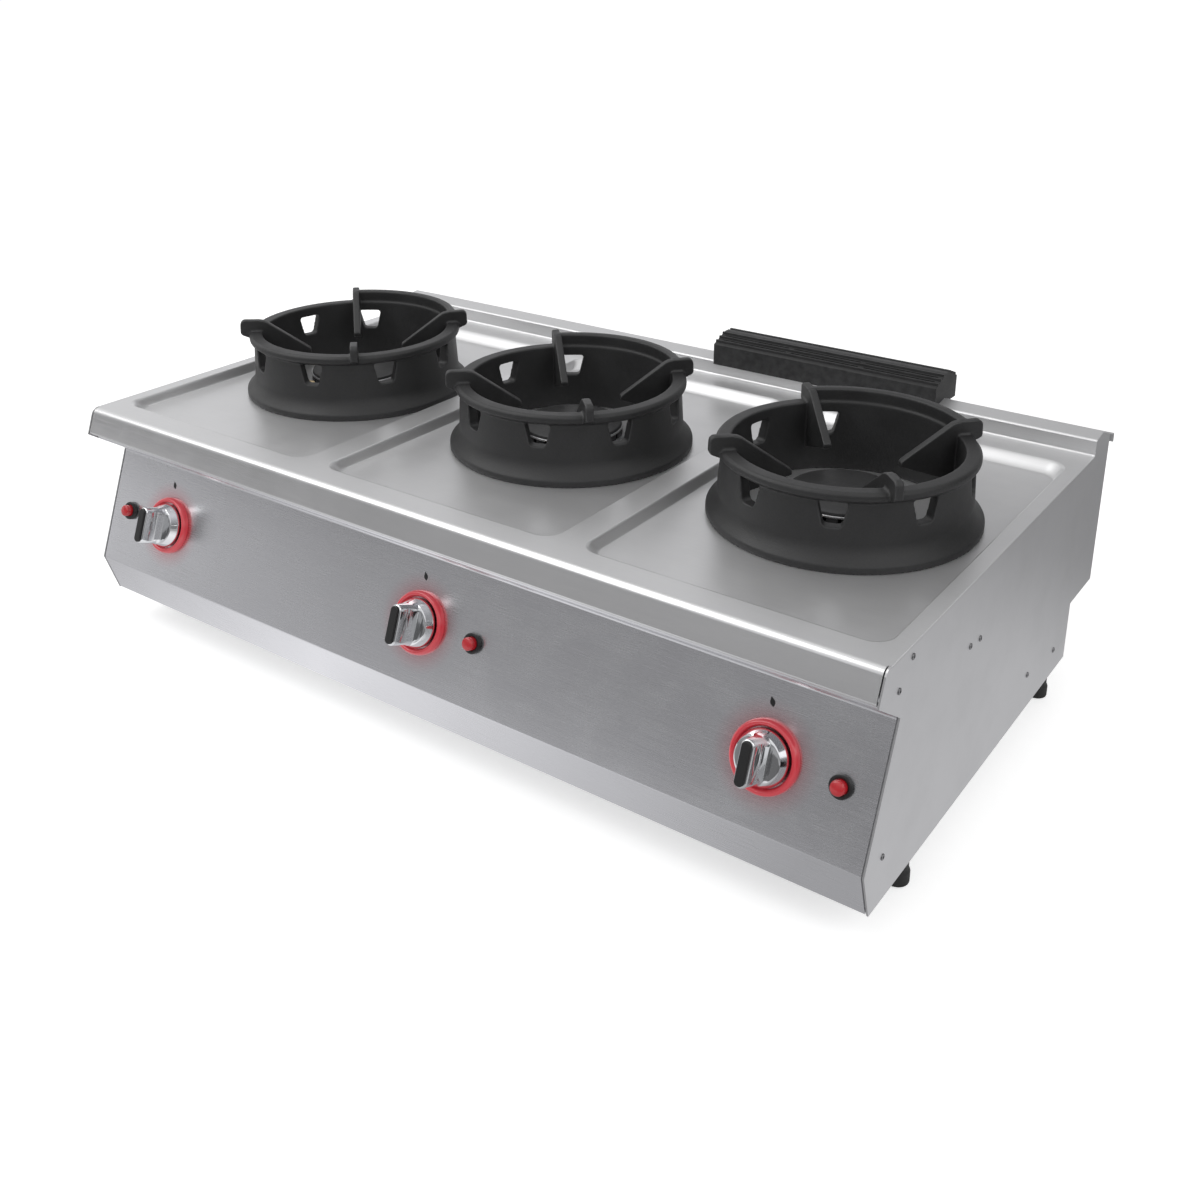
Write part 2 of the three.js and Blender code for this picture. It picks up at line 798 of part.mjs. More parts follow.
// The head: a hollow cap with flame ports round it and a spigot that drops into the neck.
function burnerHead() {
  const spigot = neckRadius - neckWall - spigotGap;
  const shell = revolve(
    [
      [spigot, -spigotDepth],
      [spigot, 0],
      [headRadius - headBevel, 0],
      [headRadius, headBevel],
      [headRadius, headHeight - headCrown],
      [headRadius - headCrown, headHeight - headCrown / 3],
      [headRadius * 0.45, headHeight],
      [0, headHeight],
      [0, headHeight - headWall],
      [headRadius - headWall, headHeight - headCrown - 1],
      [headRadius - headWall, headWall + 1],
      [spigot - spigotWall, headWall + 1],
      [spigot - spigotWall, -spigotDepth],
    ],
    burnerFacets,
  );
  let head = shell;
  for (let k = 0; k < headPorts; k++) {
    const port = block(
      [headRadius - 2 * headWall, -portWidth / 2, headBevel + 1],
      [headRadius + cutThrough, portWidth / 2, headHeight - headCrown - 2],
    );
    head = head.subtract(port.rotate([0, 0, (360 / headPorts) * (k + 0.5)]));
  }
  return head;
}

function pilotBurner() {
  const footZ = bearerTop + fitGap - basinFloorZ;
  const body = revolve(
    [
      [0, footZ],
      [pilotFoot, footZ],
      [pilotFoot, footZ + 2],
      [pilotRadius, footZ + 2],
      [pilotRadius, pilotRise - 9],
      [pilotHood, pilotRise - 7],
      [pilotHood, pilotRise],
      [0, pilotRise + 2],
    ],
    turnedFacets - 4,
  );
  const mouth = block([-2, -2, pilotRise - 6], [2, pilotHood + 5, pilotRise - 1]);
  return body.subtract(mouth);
}

// ---- Wok ring ----

// The cast ring stands on the basin floor and carries the wok on four sloping fins.
// Its wall has windows for air, and its rim rises at the back, between the rear fins.
function wokRing() {
  const bore = ringWallRadius - ringWall;
  const bead = ringWallRadius + ringBead;
  const flareRadius = ringWallRadius + ringTaper;
  const flare = new THREE.QuadraticBezierCurve(
    new THREE.Vector2(ringBaseRadius, ringBaseEdge),
    new THREE.Vector2(flareRadius + 2, (ringBaseEdge + ringFlareTop) / 2),
    new THREE.Vector2(flareRadius, ringFlareTop),
  );
  const beadBottom = ringHeight - ringBeadHeight;
  const wall = revolve(
    [
      [bore, 0],
      [ringBaseRadius, 0],
      ...flare.getPoints(3).map(({ x, y }) => [x, y]),
      [ringWallRadius, beadBottom - beadSlope],
      [bead, beadBottom],
      [bead, ringHeight - 2],
      [bead - 3, ringHeight],
      [bore, ringHeight],
    ],
    ringFacets,
  );

  const fin = pullUp(
    [
      [ringWallRadius - 4, ringFlareTop],
      [finReach, finTipBottom],
      [finReach, finTipBottom + finTipHeight],
      [finShoulder, finTop - 2],
      [bead + finOverhang - 1, finTop],
      [bead + finOverhang, finTop - finTail],
      [bead - 4, beadBottom - 1],
      [ringWallRadius - 4, beadBottom - beadSlope],
    ].map(([r, z]) => new THREE.Vector2(r, z)),
    -finThickness / 2,
    finThickness / 2,
  ).rotate([90, 0, 0]);

  const rearRim = new THREE.Shape();
  rearRim.absarc(0, 0, bead - rimInset, Math.PI / 4, (3 * Math.PI) / 4, false);
  rearRim.absarc(0, 0, bore + 2, (3 * Math.PI) / 4, Math.PI / 4, true);

  const window = pullUp(
    roundedCourse(
      [
        [0, windowBottom],
        [windowBottomWidth / 2, windowBottom, windowCorner],
        [windowTopWidth / 2, windowBottom + windowHeight, windowCorner / 2],
        [-windowTopWidth / 2, windowBottom + windowHeight, windowCorner / 2],
        [-windowBottomWidth / 2, windowBottom, windowCorner],
        [0, windowBottom],
      ],
      2,
    ).slice(1),
    bore - cutThrough,
    ringBaseRadius + cutThrough,
  ).rotate([90, 0, 0]);

  let ring = join(wall, pullUp(rearRim, ringHeight - 4, ringHeight + rearRimRise, 6));
  for (let k = 0; k < 4; k++) {
    ring = ring.add(fin.rotate([0, 0, 45 + 90 * k]));
  }
  const pitch = THREE.MathUtils.radToDeg(windowPitch);
  for (let k = 0; k < windowCount; k++) {
    ring = ring.subtract(window.rotate([0, 0, (k - (windowCount - 1) / 2) * pitch]));
  }
  return ring;
}

// ---- Knob, its bezel, its spindle and the valve behind the panel ----

// A rod with one flat side, so that what it fits into turns with it.
function flatSidedRod(radius, z0, z1, flat) {
  const bar = rod(radius, z0, z1);
  return bar.subtract(block([-radius - 1, radius - flat, z0 - 1], [radius + 1, radius + 1, z1 + 1]));
}

function pillOutline(length, breadth, steps) {
  return roundedRectangle(-breadth / 2, breadth / 2, -length / 2, length / 2, breadth / 2 - 0.01, steps);
}

function gripOutline(grow) {
  const half = [gripWidth / 2 + grow, gripLength / 2 + grow];
  return roundedRectangle(-half[0], half[0], -half[1], half[1], gripCorner + grow, 2);
}

function knob() {
  const top = knobLift + skirtHeight;
  const skirt = revolve(
    [
      [0, knobLift],
      [knobRadius, knobLift],
      [knobRadius, knobLift + skirtHeight / 3],
      [knobRadius - skirtHeight / 2, top],
      [0, top],
    ],
    knobFacets,
  );
  const gripHalf = gripLength / 2;
  const grip = loft([
    { outline: gripOutline(gripFlare), z: top - gripFlare },
    { outline: gripOutline(0), z: top + 3 * gripFlare },
    { outline: gripOutline(0), z: gripFront - gripFlare },
    { outline: gripOutline(-gripFlare), z: gripFront },
  ]);
  const scoops = [-1, 1].map((side) =>
    rod(scoopRadius, -gripHalf - 5, gripHalf + 5, { segments: knobFacets })
      .rotate([90, 0, 0])
      .translate([side * (gripWidth / 2 - gripWaist + scoopRadius), 0, (top + gripFront) / 2 + 2]),
  );
  const pocket = pullUp(
    pillOutline(tongueLength + 2 * fitGap, tongueWidth + 2 * fitGap, 3),
    gripFront - tongueDepth - fitGap,
    gripFront + 1,
  );
  const hub = flatSidedRod(spindleBore, knobLift - 1, spindleReach + fitGap, spindleFlat);
  return cut(join(skirt, grip), ...scoops, pocket, hub);
}

// A plate over the front of the grip, with a tongue behind it.
function knobInsert() {
  const back = gripFront + fitGap;
  const front = back + insertThickness;
  const plate = loft([
    { outline: gripOutline(-gripFlare), z: back },
    { outline: gripOutline(-gripFlare), z: front - insertEdge },
    { outline: gripOutline(-gripFlare - insertEdge), z: front },
  ]);
  const tongue = pillOutline(tongueLength, tongueWidth, 3);
  return plate.add(pullUp(tongue, gripFront - tongueDepth, back + insertEdge));
}

function knobBezel() {
  const inner = knobRadius + bezelGap;
  const middle = (bezelRadius + inner) / 2;
  const half = (bezelRadius - inner) / 2;
  const crown = Array.from({ length: 5 }, (_, k) => {
    const angle = (Math.PI * k) / 4;
    return [middle + half * Math.cos(angle), fitGap + 2 + (bezelHeight - 2) * Math.sin(angle)];
  });
  return revolve([[inner, fitGap], [bezelRadius, fitGap], ...crown], knobFacets);
}

function valveBody() {
  const half = valveWidth / 2;
  const housing = block([-half, -valveHeight / 2, -valveBack], [half, valveHeight / 2, -valveFront]);
  const neck = rod(valveNeck, -valveFront - 1, -sheet - fitGap);
  const outletZ = -(valveFront + valveBack) / 2;
  const outlet = rod(outletRadius, valveHeight / 2 - 1, valveHeight / 2 + outletLength);
  const outletPlaced = outlet.rotate([-90, 0, 0]).translate([0, 0, outletZ]);
  const plugBore = rod(plugRadius + fitGap, -plugEnd - fitGap, -valveFront - 2);
  const spindleHole = rod(spindleRadius + runningGap, -valveFront - 3, 1);
  const saddle = rod(manifoldRadius + fitGap, -valveWidth, valveWidth);
  const saddlePlaced = saddle.rotate([0, 90, 0]).translate([0, 0, -manifoldBehind]);
  return cut(join(housing, neck, outletPlaced), plugBore, spindleHole, saddlePlaced);
}

function valvePlug() {
  const plug = rod(plugRadius, -plugEnd, -valveFront - 2 - fitGap);
  const bore = flatSidedRod(spindleBore, -spindleTail - knobTravel - 1, -valveFront, spindleFlat);
  return plug.subtract(bore);
}

function valveSpindle() {
  return flatSidedRod(spindleRadius, -spindleTail, spindleReach, spindleFlat);
}

// ---- Igniter ----

function igniterButton() {
  const front = igniterBezelHeight + buttonProud;
  return revolve(
    [
      [0, -buttonTail],
      [buttonRadius, -buttonTail],
      [buttonRadius, front - 2],
      [buttonRadius - 2, front],
      [0, front],
    ],
    turnedFacets,
  );
}

// The housing is held in its hole between the rim in front and the nut behind.
function igniterHousing() {
  const bore = buttonRadius + runningGap;
  const behind = -sheet - fitGap;
  return revolve(
    [
      [0, -igniterLength],
      [igniterBody, -igniterLength],
      [igniterBody, behind - nutHeight],
      [igniterNut, behind - nutHeight],
      [igniterNut, behind],
      [igniterBody, behind],
      [igniterBody, fitGap],
      [igniterBezel, fitGap],
      [igniterBezel, igniterBezelHeight],
      [bore, igniterBezelHeight],
      [bore, -buttonTail - buttonTravel - 2],
      [0, -buttonTail - buttonTravel - 2],
    ],
    turnedFacets,
  );
}

// ---- Gas pipes ----

function gasManifold() {
  const tube = rod(manifoldRadius, -manifoldHalf, manifoldHalf);
  const bore = rod(manifoldRadius - manifoldWall, 4 - manifoldHalf, manifoldHalf + 1);
  return tube.subtract(bore).rotate([0, 90, 0]);
}

function gasInlet() {
  const start = fromPanel(manifoldHalf + fitGap, -knobDrop, -manifoldBehind);
  const inletZ = recessZ - inletBelow;
  const end = recessY + inletStub;
  const run = inletX - start.x;
  const course = [
    start,
    new THREE.Vector3(start.x + run * 0.55, start.y, start.z),
    new THREE.Vector3(inletX, start.y + run * 0.8, start.z - 6),
    new THREE.Vector3(inletX, start.y + 130, (start.z + inletZ) / 2 + 8),
    new THREE.Vector3(inletX, start.y + 240, inletZ),
    new THREE.Vector3(inletX, recessY - 60, inletZ),
    new THREE.Vector3(inletX, end, inletZ),
  ];
  const pipe = pipeAlong(course, manifoldRadius, 22);
  const collar = rod(inletCollar, end - collarLength - manifoldWall, end - manifoldWall, { segments: 6 });
  const bore = rod(manifoldRadius - manifoldWall, end - inletDepth, end + cutThrough);
  const lay = (solid) => solid.rotate([-90, 0, 0]).translate([inletX, 0, inletZ]);
  return cut(join(pipe, lay(collar)), lay(bore));
}

// The pipe from a valve to its burner, with the jet that blows into the horn.
function feedPipe(knobX, bayX) {
  const outletZ = -(valveFront + valveBack) / 2;
  const outletY = valveHeight / 2 + outletLength + fitGap - knobDrop;
  const start = fromPanel(knobX, outletY, outletZ);
  const jetTip = ringY - hornLength - jetGap;
  const jetTail = jetTip - jetLength;
  const course = [
    start,
    fromPanel(knobX, outletY + 22, outletZ),
    new THREE.Vector3((knobX + bayX) / 2, (start.y + jetTail) / 2, hornZ - 12),
    new THREE.Vector3(bayX, jetTail - 26, hornZ),
    new THREE.Vector3(bayX, jetTail + 3, hornZ),
  ];
  const jet = revolve(
    [
      [0, 0],
      [jetRadius, 0],
      [jetRadius, jetLength - jetTaper],
      [jetTipRadius, jetLength],
      [0, jetLength],
    ],
    8,
  );
  const jetPlaced = jet.rotate([-90, 0, 0]).translate([bayX, jetTail, hornZ]);
  return join(pipeAlong(course, pipeRadius, 12, 6), jetPlaced);
}

// ---- Flue ----

function flueDuct() {
  const z0 = worktopZ - ductDrop;
  const z1 = crestZ + ductRise;
  const [x0, x1] = [capX - ductLength / 2, capX + ductLength / 2];
  const outer = block([x0, ductFront, z0], [x1, ductFront + ductDepth, z1]);
  const inner = block(
    [x0 + thinSheet, ductFront + thinSheet, z0 - 1],
    [x1 - thinSheet, ductFront + ductDepth - thinSheet, z1 + 1],
  );
  return outer.subtract(inner);
}

// A cast cap: a ridged roof with slots between its ribs, hollow below, resting on the upstand.
function flueCap() {
  const y0 = upstandY - capOverhang;
  const y1 = y0 + capDepth;
  const middle = (y0 + y1) / 2;
  const shoulder = worktopZ + capShoulder;
  const ridge = worktopZ + capRidge;
  const roofRun = middle - capRidgeWidth / 2 - y0;
  const rise = ridge - shoulder;
  const onSlope = (share) => [y0 + roofRun * share, shoulder + rise * share];
  const slopeRibs = Array.from({ length: capRibs }, (_, k) => {
    const [y, z] = onSlope((k + 0.75) / (capRibs + 0.4));
    return [
      [y - ribWidth / 2, z - (rise / roofRun) * (ribWidth / 2)],
      [y - ribWidth / 2 + 0.5, z + ribHeight],
      [y + ribWidth / 2 - 0.5, z + ribHeight],
      [y + ribWidth / 2, z + (rise / roofRun) * (ribWidth / 2)],
    ];
  }).flat();
  const frontHalf = [
    [y0, worktopZ + capFrontBottom],
    [y0, shoulder],
    ...slopeRibs,
    [middle - capRidgeWidth / 2, ridge],
  ];
  const mirror = frontHalf.map(([y, z]) => [2 * middle - y, z]).reverse();
  const outer = barAlongX([...frontHalf, ...mirror], capX - capLength / 2, capX + capLength / 2);

  const hollow = barAlongX(
    [
      [y0 + capWall, worktopZ],
      [y0 + capWall, shoulder - 1],
      [middle - capRidgeWidth / 2 - 1, ridge - capWall],
      [middle + capRidgeWidth / 2 + 1, ridge - capWall],
      [y1 - capWall, shoulder - 1],
      [y1 - capWall, worktopZ],
    ],
    capX - capLength / 2 + capWall,
    capX + capLength / 2 - capWall,
  );
  // Below, the cap follows the upstand that it sits on.
  const behind = y1 + capDepth;
  const restPath = [
    [upstandY, bodyBottom],
    ...worktopPath.slice(4, 6),
    [behind, crestZ - (behind - crestY) * rearSlope],
    [behind, bodyBottom],
  ];
  const seat = barAlongX(
    shifted(roundedCourse(restPath), -fitGap).map(({ x, y }) => [x, y]),
    capX - capLength,
    capX + capLength,
  );
  let cap = cut(outer, hollow, seat);
  const slotRows = capRibs - 1;
  const bay = (capLength - 4 * capWall * 2) / 3;
  for (let row = 0; row < slotRows; row++) {
    const [y, z] = onSlope((row + 1.25) / (capRibs + 0.4));
    for (const slotY of [y, 2 * middle - y]) {
      for (let k = -1; k <= 1; k++) {
        const x = capX + k * (bay + 2 * capWall);
        cap = cap.subtract(block([x - bay / 2, slotY - 2, z - 12], [x + bay / 2, slotY + 2, z + 9]));
      }
    }
  }
  return cap;
}

// ---- Feet ----

function foot() {
  return revolve(
    [
      [0, 0],
      [footRadius - 1, 0],
      [footRadius, 1.5],
      [footRadius, footHeight * 0.28],
      [footTopRadius, footHeight * 0.36],
      [footTopRadius, footHeight - fitGap],
      [0, footHeight - fitGap],
    ],
    turnedFacets,
  );
}

// ---- Assembly ----

range.add(
  piece("worktop", worktop(), brushedSteel),
  piece("side_panel_left", sidePanel(-1), brushedSteel),
  piece("side_panel_right", sidePanel(1), brushedSteel),
  piece("control_panel", controlPanel(), shadedSteel),
  piece("bottom_panel", bottomPanel(), galvanised),
  piece("back_panel", backPanel(), galvanised),
  piece("front_rail", rail(frontWebY, 1), galvanised),
  piece("rear_rail", rail(rearWebY, -1), galvanised),
  piece("gas_inlet", gasInlet(), brass),
  piece("flue_duct", flueDuct(), galvanised),
  piece("flue_cap", flueCap(), castIron),
);

const manifold = piece("gas_manifold", gasManifold(), galvanised);
manifold.position.set(0, -knobDrop, -manifoldBehind);
panelFace.add(manifold);

bayCentres.forEach((x, i) => {
  const bearerBar = piece(numbered("burner_bearer", i), bearer(), galvanised);
  bearerBar.position.x = x;
  range.add(bearerBar, piece(numbered("gas_pipe", i), feedPipe(knobCentres[i], x), copper));

  // Everything of one burner is placed from the middle of its basin floor.
  const burner = new THREE.Group();
  burner.position.set(x, ringY, basinFloorZ);
  const ring = piece(numbered("wok_ring", i), wokRing(), castIron);
  ring.position.z = fitGap;
  const head = piece(numbered("burner_head", i), burnerHead(), castIron);
  head.position.z = neckRise + fitGap;
  const pilot = piece(numbered("pilot_burner", i), pilotBurner(), brass);
  pilot.position.y = -pilotOffset;
  burner.add(ring, head, piece(numbered("burner_body", i), burnerCasting(), castIron), pilot);
  range.add(burner);
});

knobCentres.forEach((x, i) => {
  const control = new THREE.Group();
  control.position.set(x, -knobDrop, 0);
  control.add(
    piece(numbered("knob", i), knob(), chrome),
    piece(numbered("knob_insert", i), knobInsert(), blackPlastic),
    piece(numbered("knob_bezel", i), knobBezel(), redPlastic),
    piece(numbered("valve_spindle", i), valveSpindle(), alloy),
    piece(numbered("valve_plug", i), valvePlug(), brass),
    piece(numbered("gas_valve", i), valveBody(), alloy),
  );
  const igniter = new THREE.Group();
  igniter.position.set(x + igniterSides[i] * igniterSpacing, -knobDrop, 0);
  igniter.add(
    piece(numbered("igniter_button", i), igniterButton(), redPlastic),
    piece(numbered("igniter_body", i), igniterHousing(), blackPlastic),
  );
  panelFace.add(control, igniter);
});

const footPlaces = [
  ["foot_front_left", -1, footFront],
  ["foot_front_right", 1, footFront],
  ["foot_rear_left", -1, footRear],
  ["foot_rear_right", 1, footRear],
];
for (const [name, side, y] of footPlaces) {
  const mesh = piece(name, foot(), rubber);
  mesh.position.set(side * (sideX - footInset), y, 0);
  range.add(mesh);
}

// The footprint's middle, with the knobs that stand out in front, is the origin.
const bounds = new THREE.Box3().setFromObject(range, true);
range.position.y = -(bounds.min.y + bounds.max.y) / 2;

export default range;
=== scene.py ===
import json
from math import acos, cos, pi, radians, sin, tan

import bmesh
import bpy
from mathutils import Matrix, Vector


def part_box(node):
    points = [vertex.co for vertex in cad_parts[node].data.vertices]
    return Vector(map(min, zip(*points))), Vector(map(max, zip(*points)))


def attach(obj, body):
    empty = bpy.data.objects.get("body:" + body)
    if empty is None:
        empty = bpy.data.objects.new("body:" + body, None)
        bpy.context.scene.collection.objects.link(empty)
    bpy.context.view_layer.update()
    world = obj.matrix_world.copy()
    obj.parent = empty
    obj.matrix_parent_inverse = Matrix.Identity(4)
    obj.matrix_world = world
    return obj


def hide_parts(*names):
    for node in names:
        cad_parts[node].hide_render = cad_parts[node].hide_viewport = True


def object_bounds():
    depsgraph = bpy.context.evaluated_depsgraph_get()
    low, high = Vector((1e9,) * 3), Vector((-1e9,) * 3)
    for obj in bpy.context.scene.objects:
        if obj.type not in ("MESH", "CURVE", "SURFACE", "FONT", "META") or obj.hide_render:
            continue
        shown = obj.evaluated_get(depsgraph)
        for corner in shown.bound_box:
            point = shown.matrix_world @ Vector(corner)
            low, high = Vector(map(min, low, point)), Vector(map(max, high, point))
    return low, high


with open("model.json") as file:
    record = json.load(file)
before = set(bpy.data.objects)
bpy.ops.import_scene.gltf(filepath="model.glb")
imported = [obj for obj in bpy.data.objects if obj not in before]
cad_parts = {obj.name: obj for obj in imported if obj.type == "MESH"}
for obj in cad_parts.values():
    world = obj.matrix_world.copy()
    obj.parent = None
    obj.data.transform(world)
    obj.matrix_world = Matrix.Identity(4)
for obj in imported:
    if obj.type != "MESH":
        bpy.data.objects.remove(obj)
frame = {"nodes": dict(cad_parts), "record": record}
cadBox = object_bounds()
nodes = frame["nodes"]
mm = 0.001


# meshes, all lengths in millimetres

def newObject(name, points, faces):
    mesh = bpy.data.meshes.new(name)
    mesh.from_pydata([(x * mm, y * mm, z * mm) for x, y, z in points], [], faces)
    mesh.validate()
    thing = bpy.data.objects.new(name, mesh)
    bpy.context.scene.collection.objects.link(thing)
    return thing


def outwards(thing):
    grid = bmesh.new()
    grid.from_mesh(thing.data)
    bmesh.ops.recalc_face_normals(grid, faces=grid.faces)
    grid.to_mesh(thing.data)
    grid.free()
    return thing


def turned(name, outline, segments=64):
    # outline is [radius, z] points, going up the outside; ends on the axis are closed to a point
    points, rings = [], []
    for radius, z in outline:
        if radius < 1e-6:
            rings.append([len(points)])
            points.append((0, 0, z))
        else:
            rings.append(list(range(len(points), len(points) + segments)))
            points += [(radius * cos(2 * pi * k / segments), radius * sin(2 * pi * k / segments), z)
                       for k in range(segments)]
    if outline[0][0] > 1e-6:
        rings.append(rings[0])
    faces = []
    for low, high in zip(rings, rings[1:]):
        for k in range(segments):
            n = (k + 1) % segments
            if len(low) == 1 and len(high) == 1:
                continue
            if len(low) == 1:
                faces.append((low[0], high[n], high[k]))
            elif len(high) == 1:
                faces.append((low[k], low[n], high[0]))
            else:
                faces.append((low[k], low[n], high[n], high[k]))
    return newObject(name, points, faces)


def drum(name, radius, low, high, segments=64):
    return turned(name, [(0, low), (radius, low), (radius, high), (0, high)], segments)


def lofted(name, levels):
    # levels are (outline, z) with the same number of [x, y] points, anticlockwise, going up
    count = len(levels[0][0])
    points = [(x, y, z) for outline, z in levels for x, y in outline]
    faces = [tuple(reversed(range(count)))]
    for level in range(len(levels) - 1):
        for k in range(count):
            a, b = level * count + k, level * count + (k + 1) % count
            faces.append((a, b, b + count, a + count))
    faces.append(tuple(range((len(levels) - 1) * count, len(levels) * count)))
    return newObject(name, points, faces)


def barAlongX(name, section, x0, x1):
    # section is [y, z] points, anticlockwise seen from +X
    count = len(section)
    points = [(x, y, z) for x in (x0, x1) for y, z in section]
    faces = [tuple(reversed(range(count))), tuple(range(count, 2 * count))]
    faces += [(k, (k + 1) % count, (k + 1) % count + count, k + count) for k in range(count)]
    return outwards(newObject(name, points, faces))


def block(name, y0, y1, z0, z1, x0, x1):
    return barAlongX(name, [(y0, z0), (y1, z0), (y1, z1), (y0, z1)], x0, x1)


def prism(name, outline, low, high, upright=True):
    # an upright outline is [x, z] points pulled through along y, a flat one [x, y] points pulled up
    count = len(outline)
    points = [(a, c, b) if upright else (a, b, c) for c in (low, high) for a, b in outline]
    faces = [tuple(range(count)), tuple(reversed(range(count, 2 * count)))]
    faces += [((i + 1) % count, i, i + count, (i + 1) % count + count) for i in range(count)]
    return outwards(newObject(name, points, faces))


def roundedCourse(path, steps):
    # each [a, b, radius] corner of a fold line becomes an arc
    course = []
    for i, corner in enumerate(path):
        radius = corner[2] if len(corner) > 2 else 0
        here = Vector(corner[:2])
        if not radius or i in (0, len(path) - 1):
            course.append(here)
            continue
        before = (Vector(path[i - 1][:2]) - here).normalized()
        after = (Vector(path[i + 1][:2]) - here).normalized()
        half = acos(max(-1, min(1, before.dot(after)))) / 2
        centre = here + (before + after).normalized() * (radius / sin(half))
        arm = here + before * (radius / tan(half)) - centre
        side = 1 if before.x * after.y - before.y * after.x > 0 else -1
        turn = pi - 2 * half
        for k in range(steps + 1):
            angle = -side * turn * k / steps
            course.append(centre + Vector((arm.x * cos(angle) - arm.y * sin(angle),
                                           arm.x * sin(angle) + arm.y * cos(angle))))
    return course


def foldedSection(path, thickness, steps=8):
    # path is one face of the sheet, which lies on its right, or left where thickness is negative
    course = roundedCourse(path, steps)
    back = []
    for i, here in enumerate(course):
        sides = []
        if i > 0:
            step = (here - course[i - 1]).normalized()
            sides.append(Vector((step.y, -step.x)))
        if i < len(course) - 1:
            step = (course[i + 1] - here).normalized()
            sides.append(Vector((step.y, -step.x)))
        one, two = sides[0], sides[-1]
        back.append(here + (one + two) / (1 + one.dot(two)) * thickness)
    return [tuple(p) for p in course] + [tuple(p) for p in reversed(back)]


def roundedRectangle(x0, x1, y0, y1, radius, steps=8):
    corners = [(x1 - radius, y1 - radius), (x0 + radius, y1 - radius),
               (x0 + radius, y0 + radius), (x1 - radius, y0 + radius)]
    return [(cx + radius * cos((i + k / steps) * pi / 2), cy + radius * sin((i + k / steps) * pi / 2))
            for i, (cx, cy) in enumerate(corners) for k in range(steps + 1)]


def curved(start, pull, end, steps):
    # a curve from start to end, drawn towards pull
    return [tuple((1 - t) ** 2 * a + 2 * t * (1 - t) * b + t * t * c for a, b, c in zip(start, pull, end))
            for t in (k / steps for k in range(steps + 1))]


def applied(thing):
    # the modifiers' result becomes the mesh
    graph = bpy.context.evaluated_depsgraph_get()
    graph.update()
    mesh = bpy.data.meshes.new_from_object(thing.evaluated_get(graph))
    thing.modifiers.clear()
    thing.data = mesh
    return thing


def combined(thing, other, operation):
    change = thing.modifiers.new(operation.lower(), "BOOLEAN")
    change.operation = operation
    change.solver = "EXACT"
    change.object = other
    applied(thing)
    bpy.data.objects.remove(other)
    return thing


def softEdges(thing, width, segments):
    bevel = thing.modifiers.new("edges", "BEVEL")
    bevel.width = width * mm
    bevel.segments = segments
    bevel.limit_method = "ANGLE"
    bevel.angle_limit = radians(30)
    bevel.use_clamp_overlap = True
    return applied(thing)


def smoothed(thing, angle):
    thing.data.shade_smooth()
    thing.data.set_sharp_from_angle(angle=radians(angle))
    normals = thing.modifiers.new("normals", "WEIGHTED_NORMAL")
    normals.keep_sharp = True
    return applied(thing)


def moved(x, y, z=0):
    return Matrix.Translation((x * mm, y * mm, z * mm))


def placed(thing, matrix):
    thing.data.transform(matrix)
    return thing


def repeated(pattern, names):
    # objects that share one mesh; the pattern itself is the first
    pattern.name = names[0]
    things = [pattern]
    for name in names[1:]:
        things.append(bpy.data.objects.new(name, pattern.data))
        bpy.context.scene.collection.objects.link(things[-1])
    return things


def fitted(thing, material, slotName, body, *cadNodes):
    thing.data.materials.clear()
    thing.data.materials.append(material)
    if cadNodes:
        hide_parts(*cadNodes)
    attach(thing, body)


# shader nodes; all but feed return the socket that gives the result

def feed(tree, node, values):
    # a value is another node's socket, or plain
    for label, value in values.items():
        if hasattr(value, "is_linked"):
            tree.links.new(value, node.inputs[label])
        else:
            node.inputs[label].default_value = value


def objectPlace(tree):
    return tree.nodes.new("ShaderNodeTexCoord").outputs["Object"]


def noise(tree, vector, scale, detail=3.0, roughness=0.55):
    node = tree.nodes.new("ShaderNodeTexNoise")
    feed(tree, node, {"Vector": vector, "Scale": scale, "Detail": detail, "Roughness": roughness})
    return node.outputs["Fac"]


def mapRange(tree, value, low, high, toLow, toHigh):
    node = tree.nodes.new("ShaderNodeMapRange")
    feed(tree, node, {"Value": value, "From Min": low, "From Max": high, "To Min": toLow, "To Max": toHigh})
    return node.outputs["Result"]


def spread(tree, value, low, high):
    # most of a noise lies between 0.3 and 0.7
    return mapRange(tree, value, 0.3, 0.7, low, high)


def mathNode(tree, operation, one, two):
    node = tree.nodes.new("ShaderNodeMath")
    node.operation = operation
    feed(tree, node, {0: one, 1: two})
    return node.outputs[0]


def vectorNode(tree, operation, one, two):
    node = tree.nodes.new("ShaderNodeVectorMath")
    node.operation = operation
    feed(tree, node, {0: one, "Scale" if operation == "SCALE" else 1: two})
    return node.outputs["Value" if operation == "DISTANCE" else "Vector"]


def mixed(tree, factor, one, two, blend="MIX"):
    node = tree.nodes.new("ShaderNodeMix")
    node.data_type = "RGBA"
    node.blend_type = blend
    feed(tree, node, {"Factor": factor, "A": one, "B": two})
    return node.outputs["Result"]


# shader groups that several finishes share; a noise is [scale, detail, roughness]

brushedSet = {"lines": (1.0, 4.0, 0.6), "clouds": (3.5, 3.0, 0.6), "wipes": (16.0, 5.0, 0.65),
              "wiped": (0.45, 0.75), "lineTone": (0.97, 1.02), "cloudTone": (-0.03, 0.02), "wipeTone": 0.03,
              "lineRoughness": (-0.03, 0.03), "wipeRoughness": 0.07}
castSet = {"sand": (520.0, 3.0, 0.6), "lumps": (60.0, 4.0, 0.6), "patches": (14.0, 4.0, 0.6),
           "sandHeight": 0.6, "lumpHeight": 0.8, "patchTone": (0.8, 1.2), "sandTone": (-0.12, 0.12),
           "patchRoughness": (-0.06, 0.08)}
# noise that breaks up the painted highlight on convex edges
edgeHighlightSet = {"breaks": (90.0, 4.0, 0.6), "broken": (0.35, 0.6), "least": 0.2}


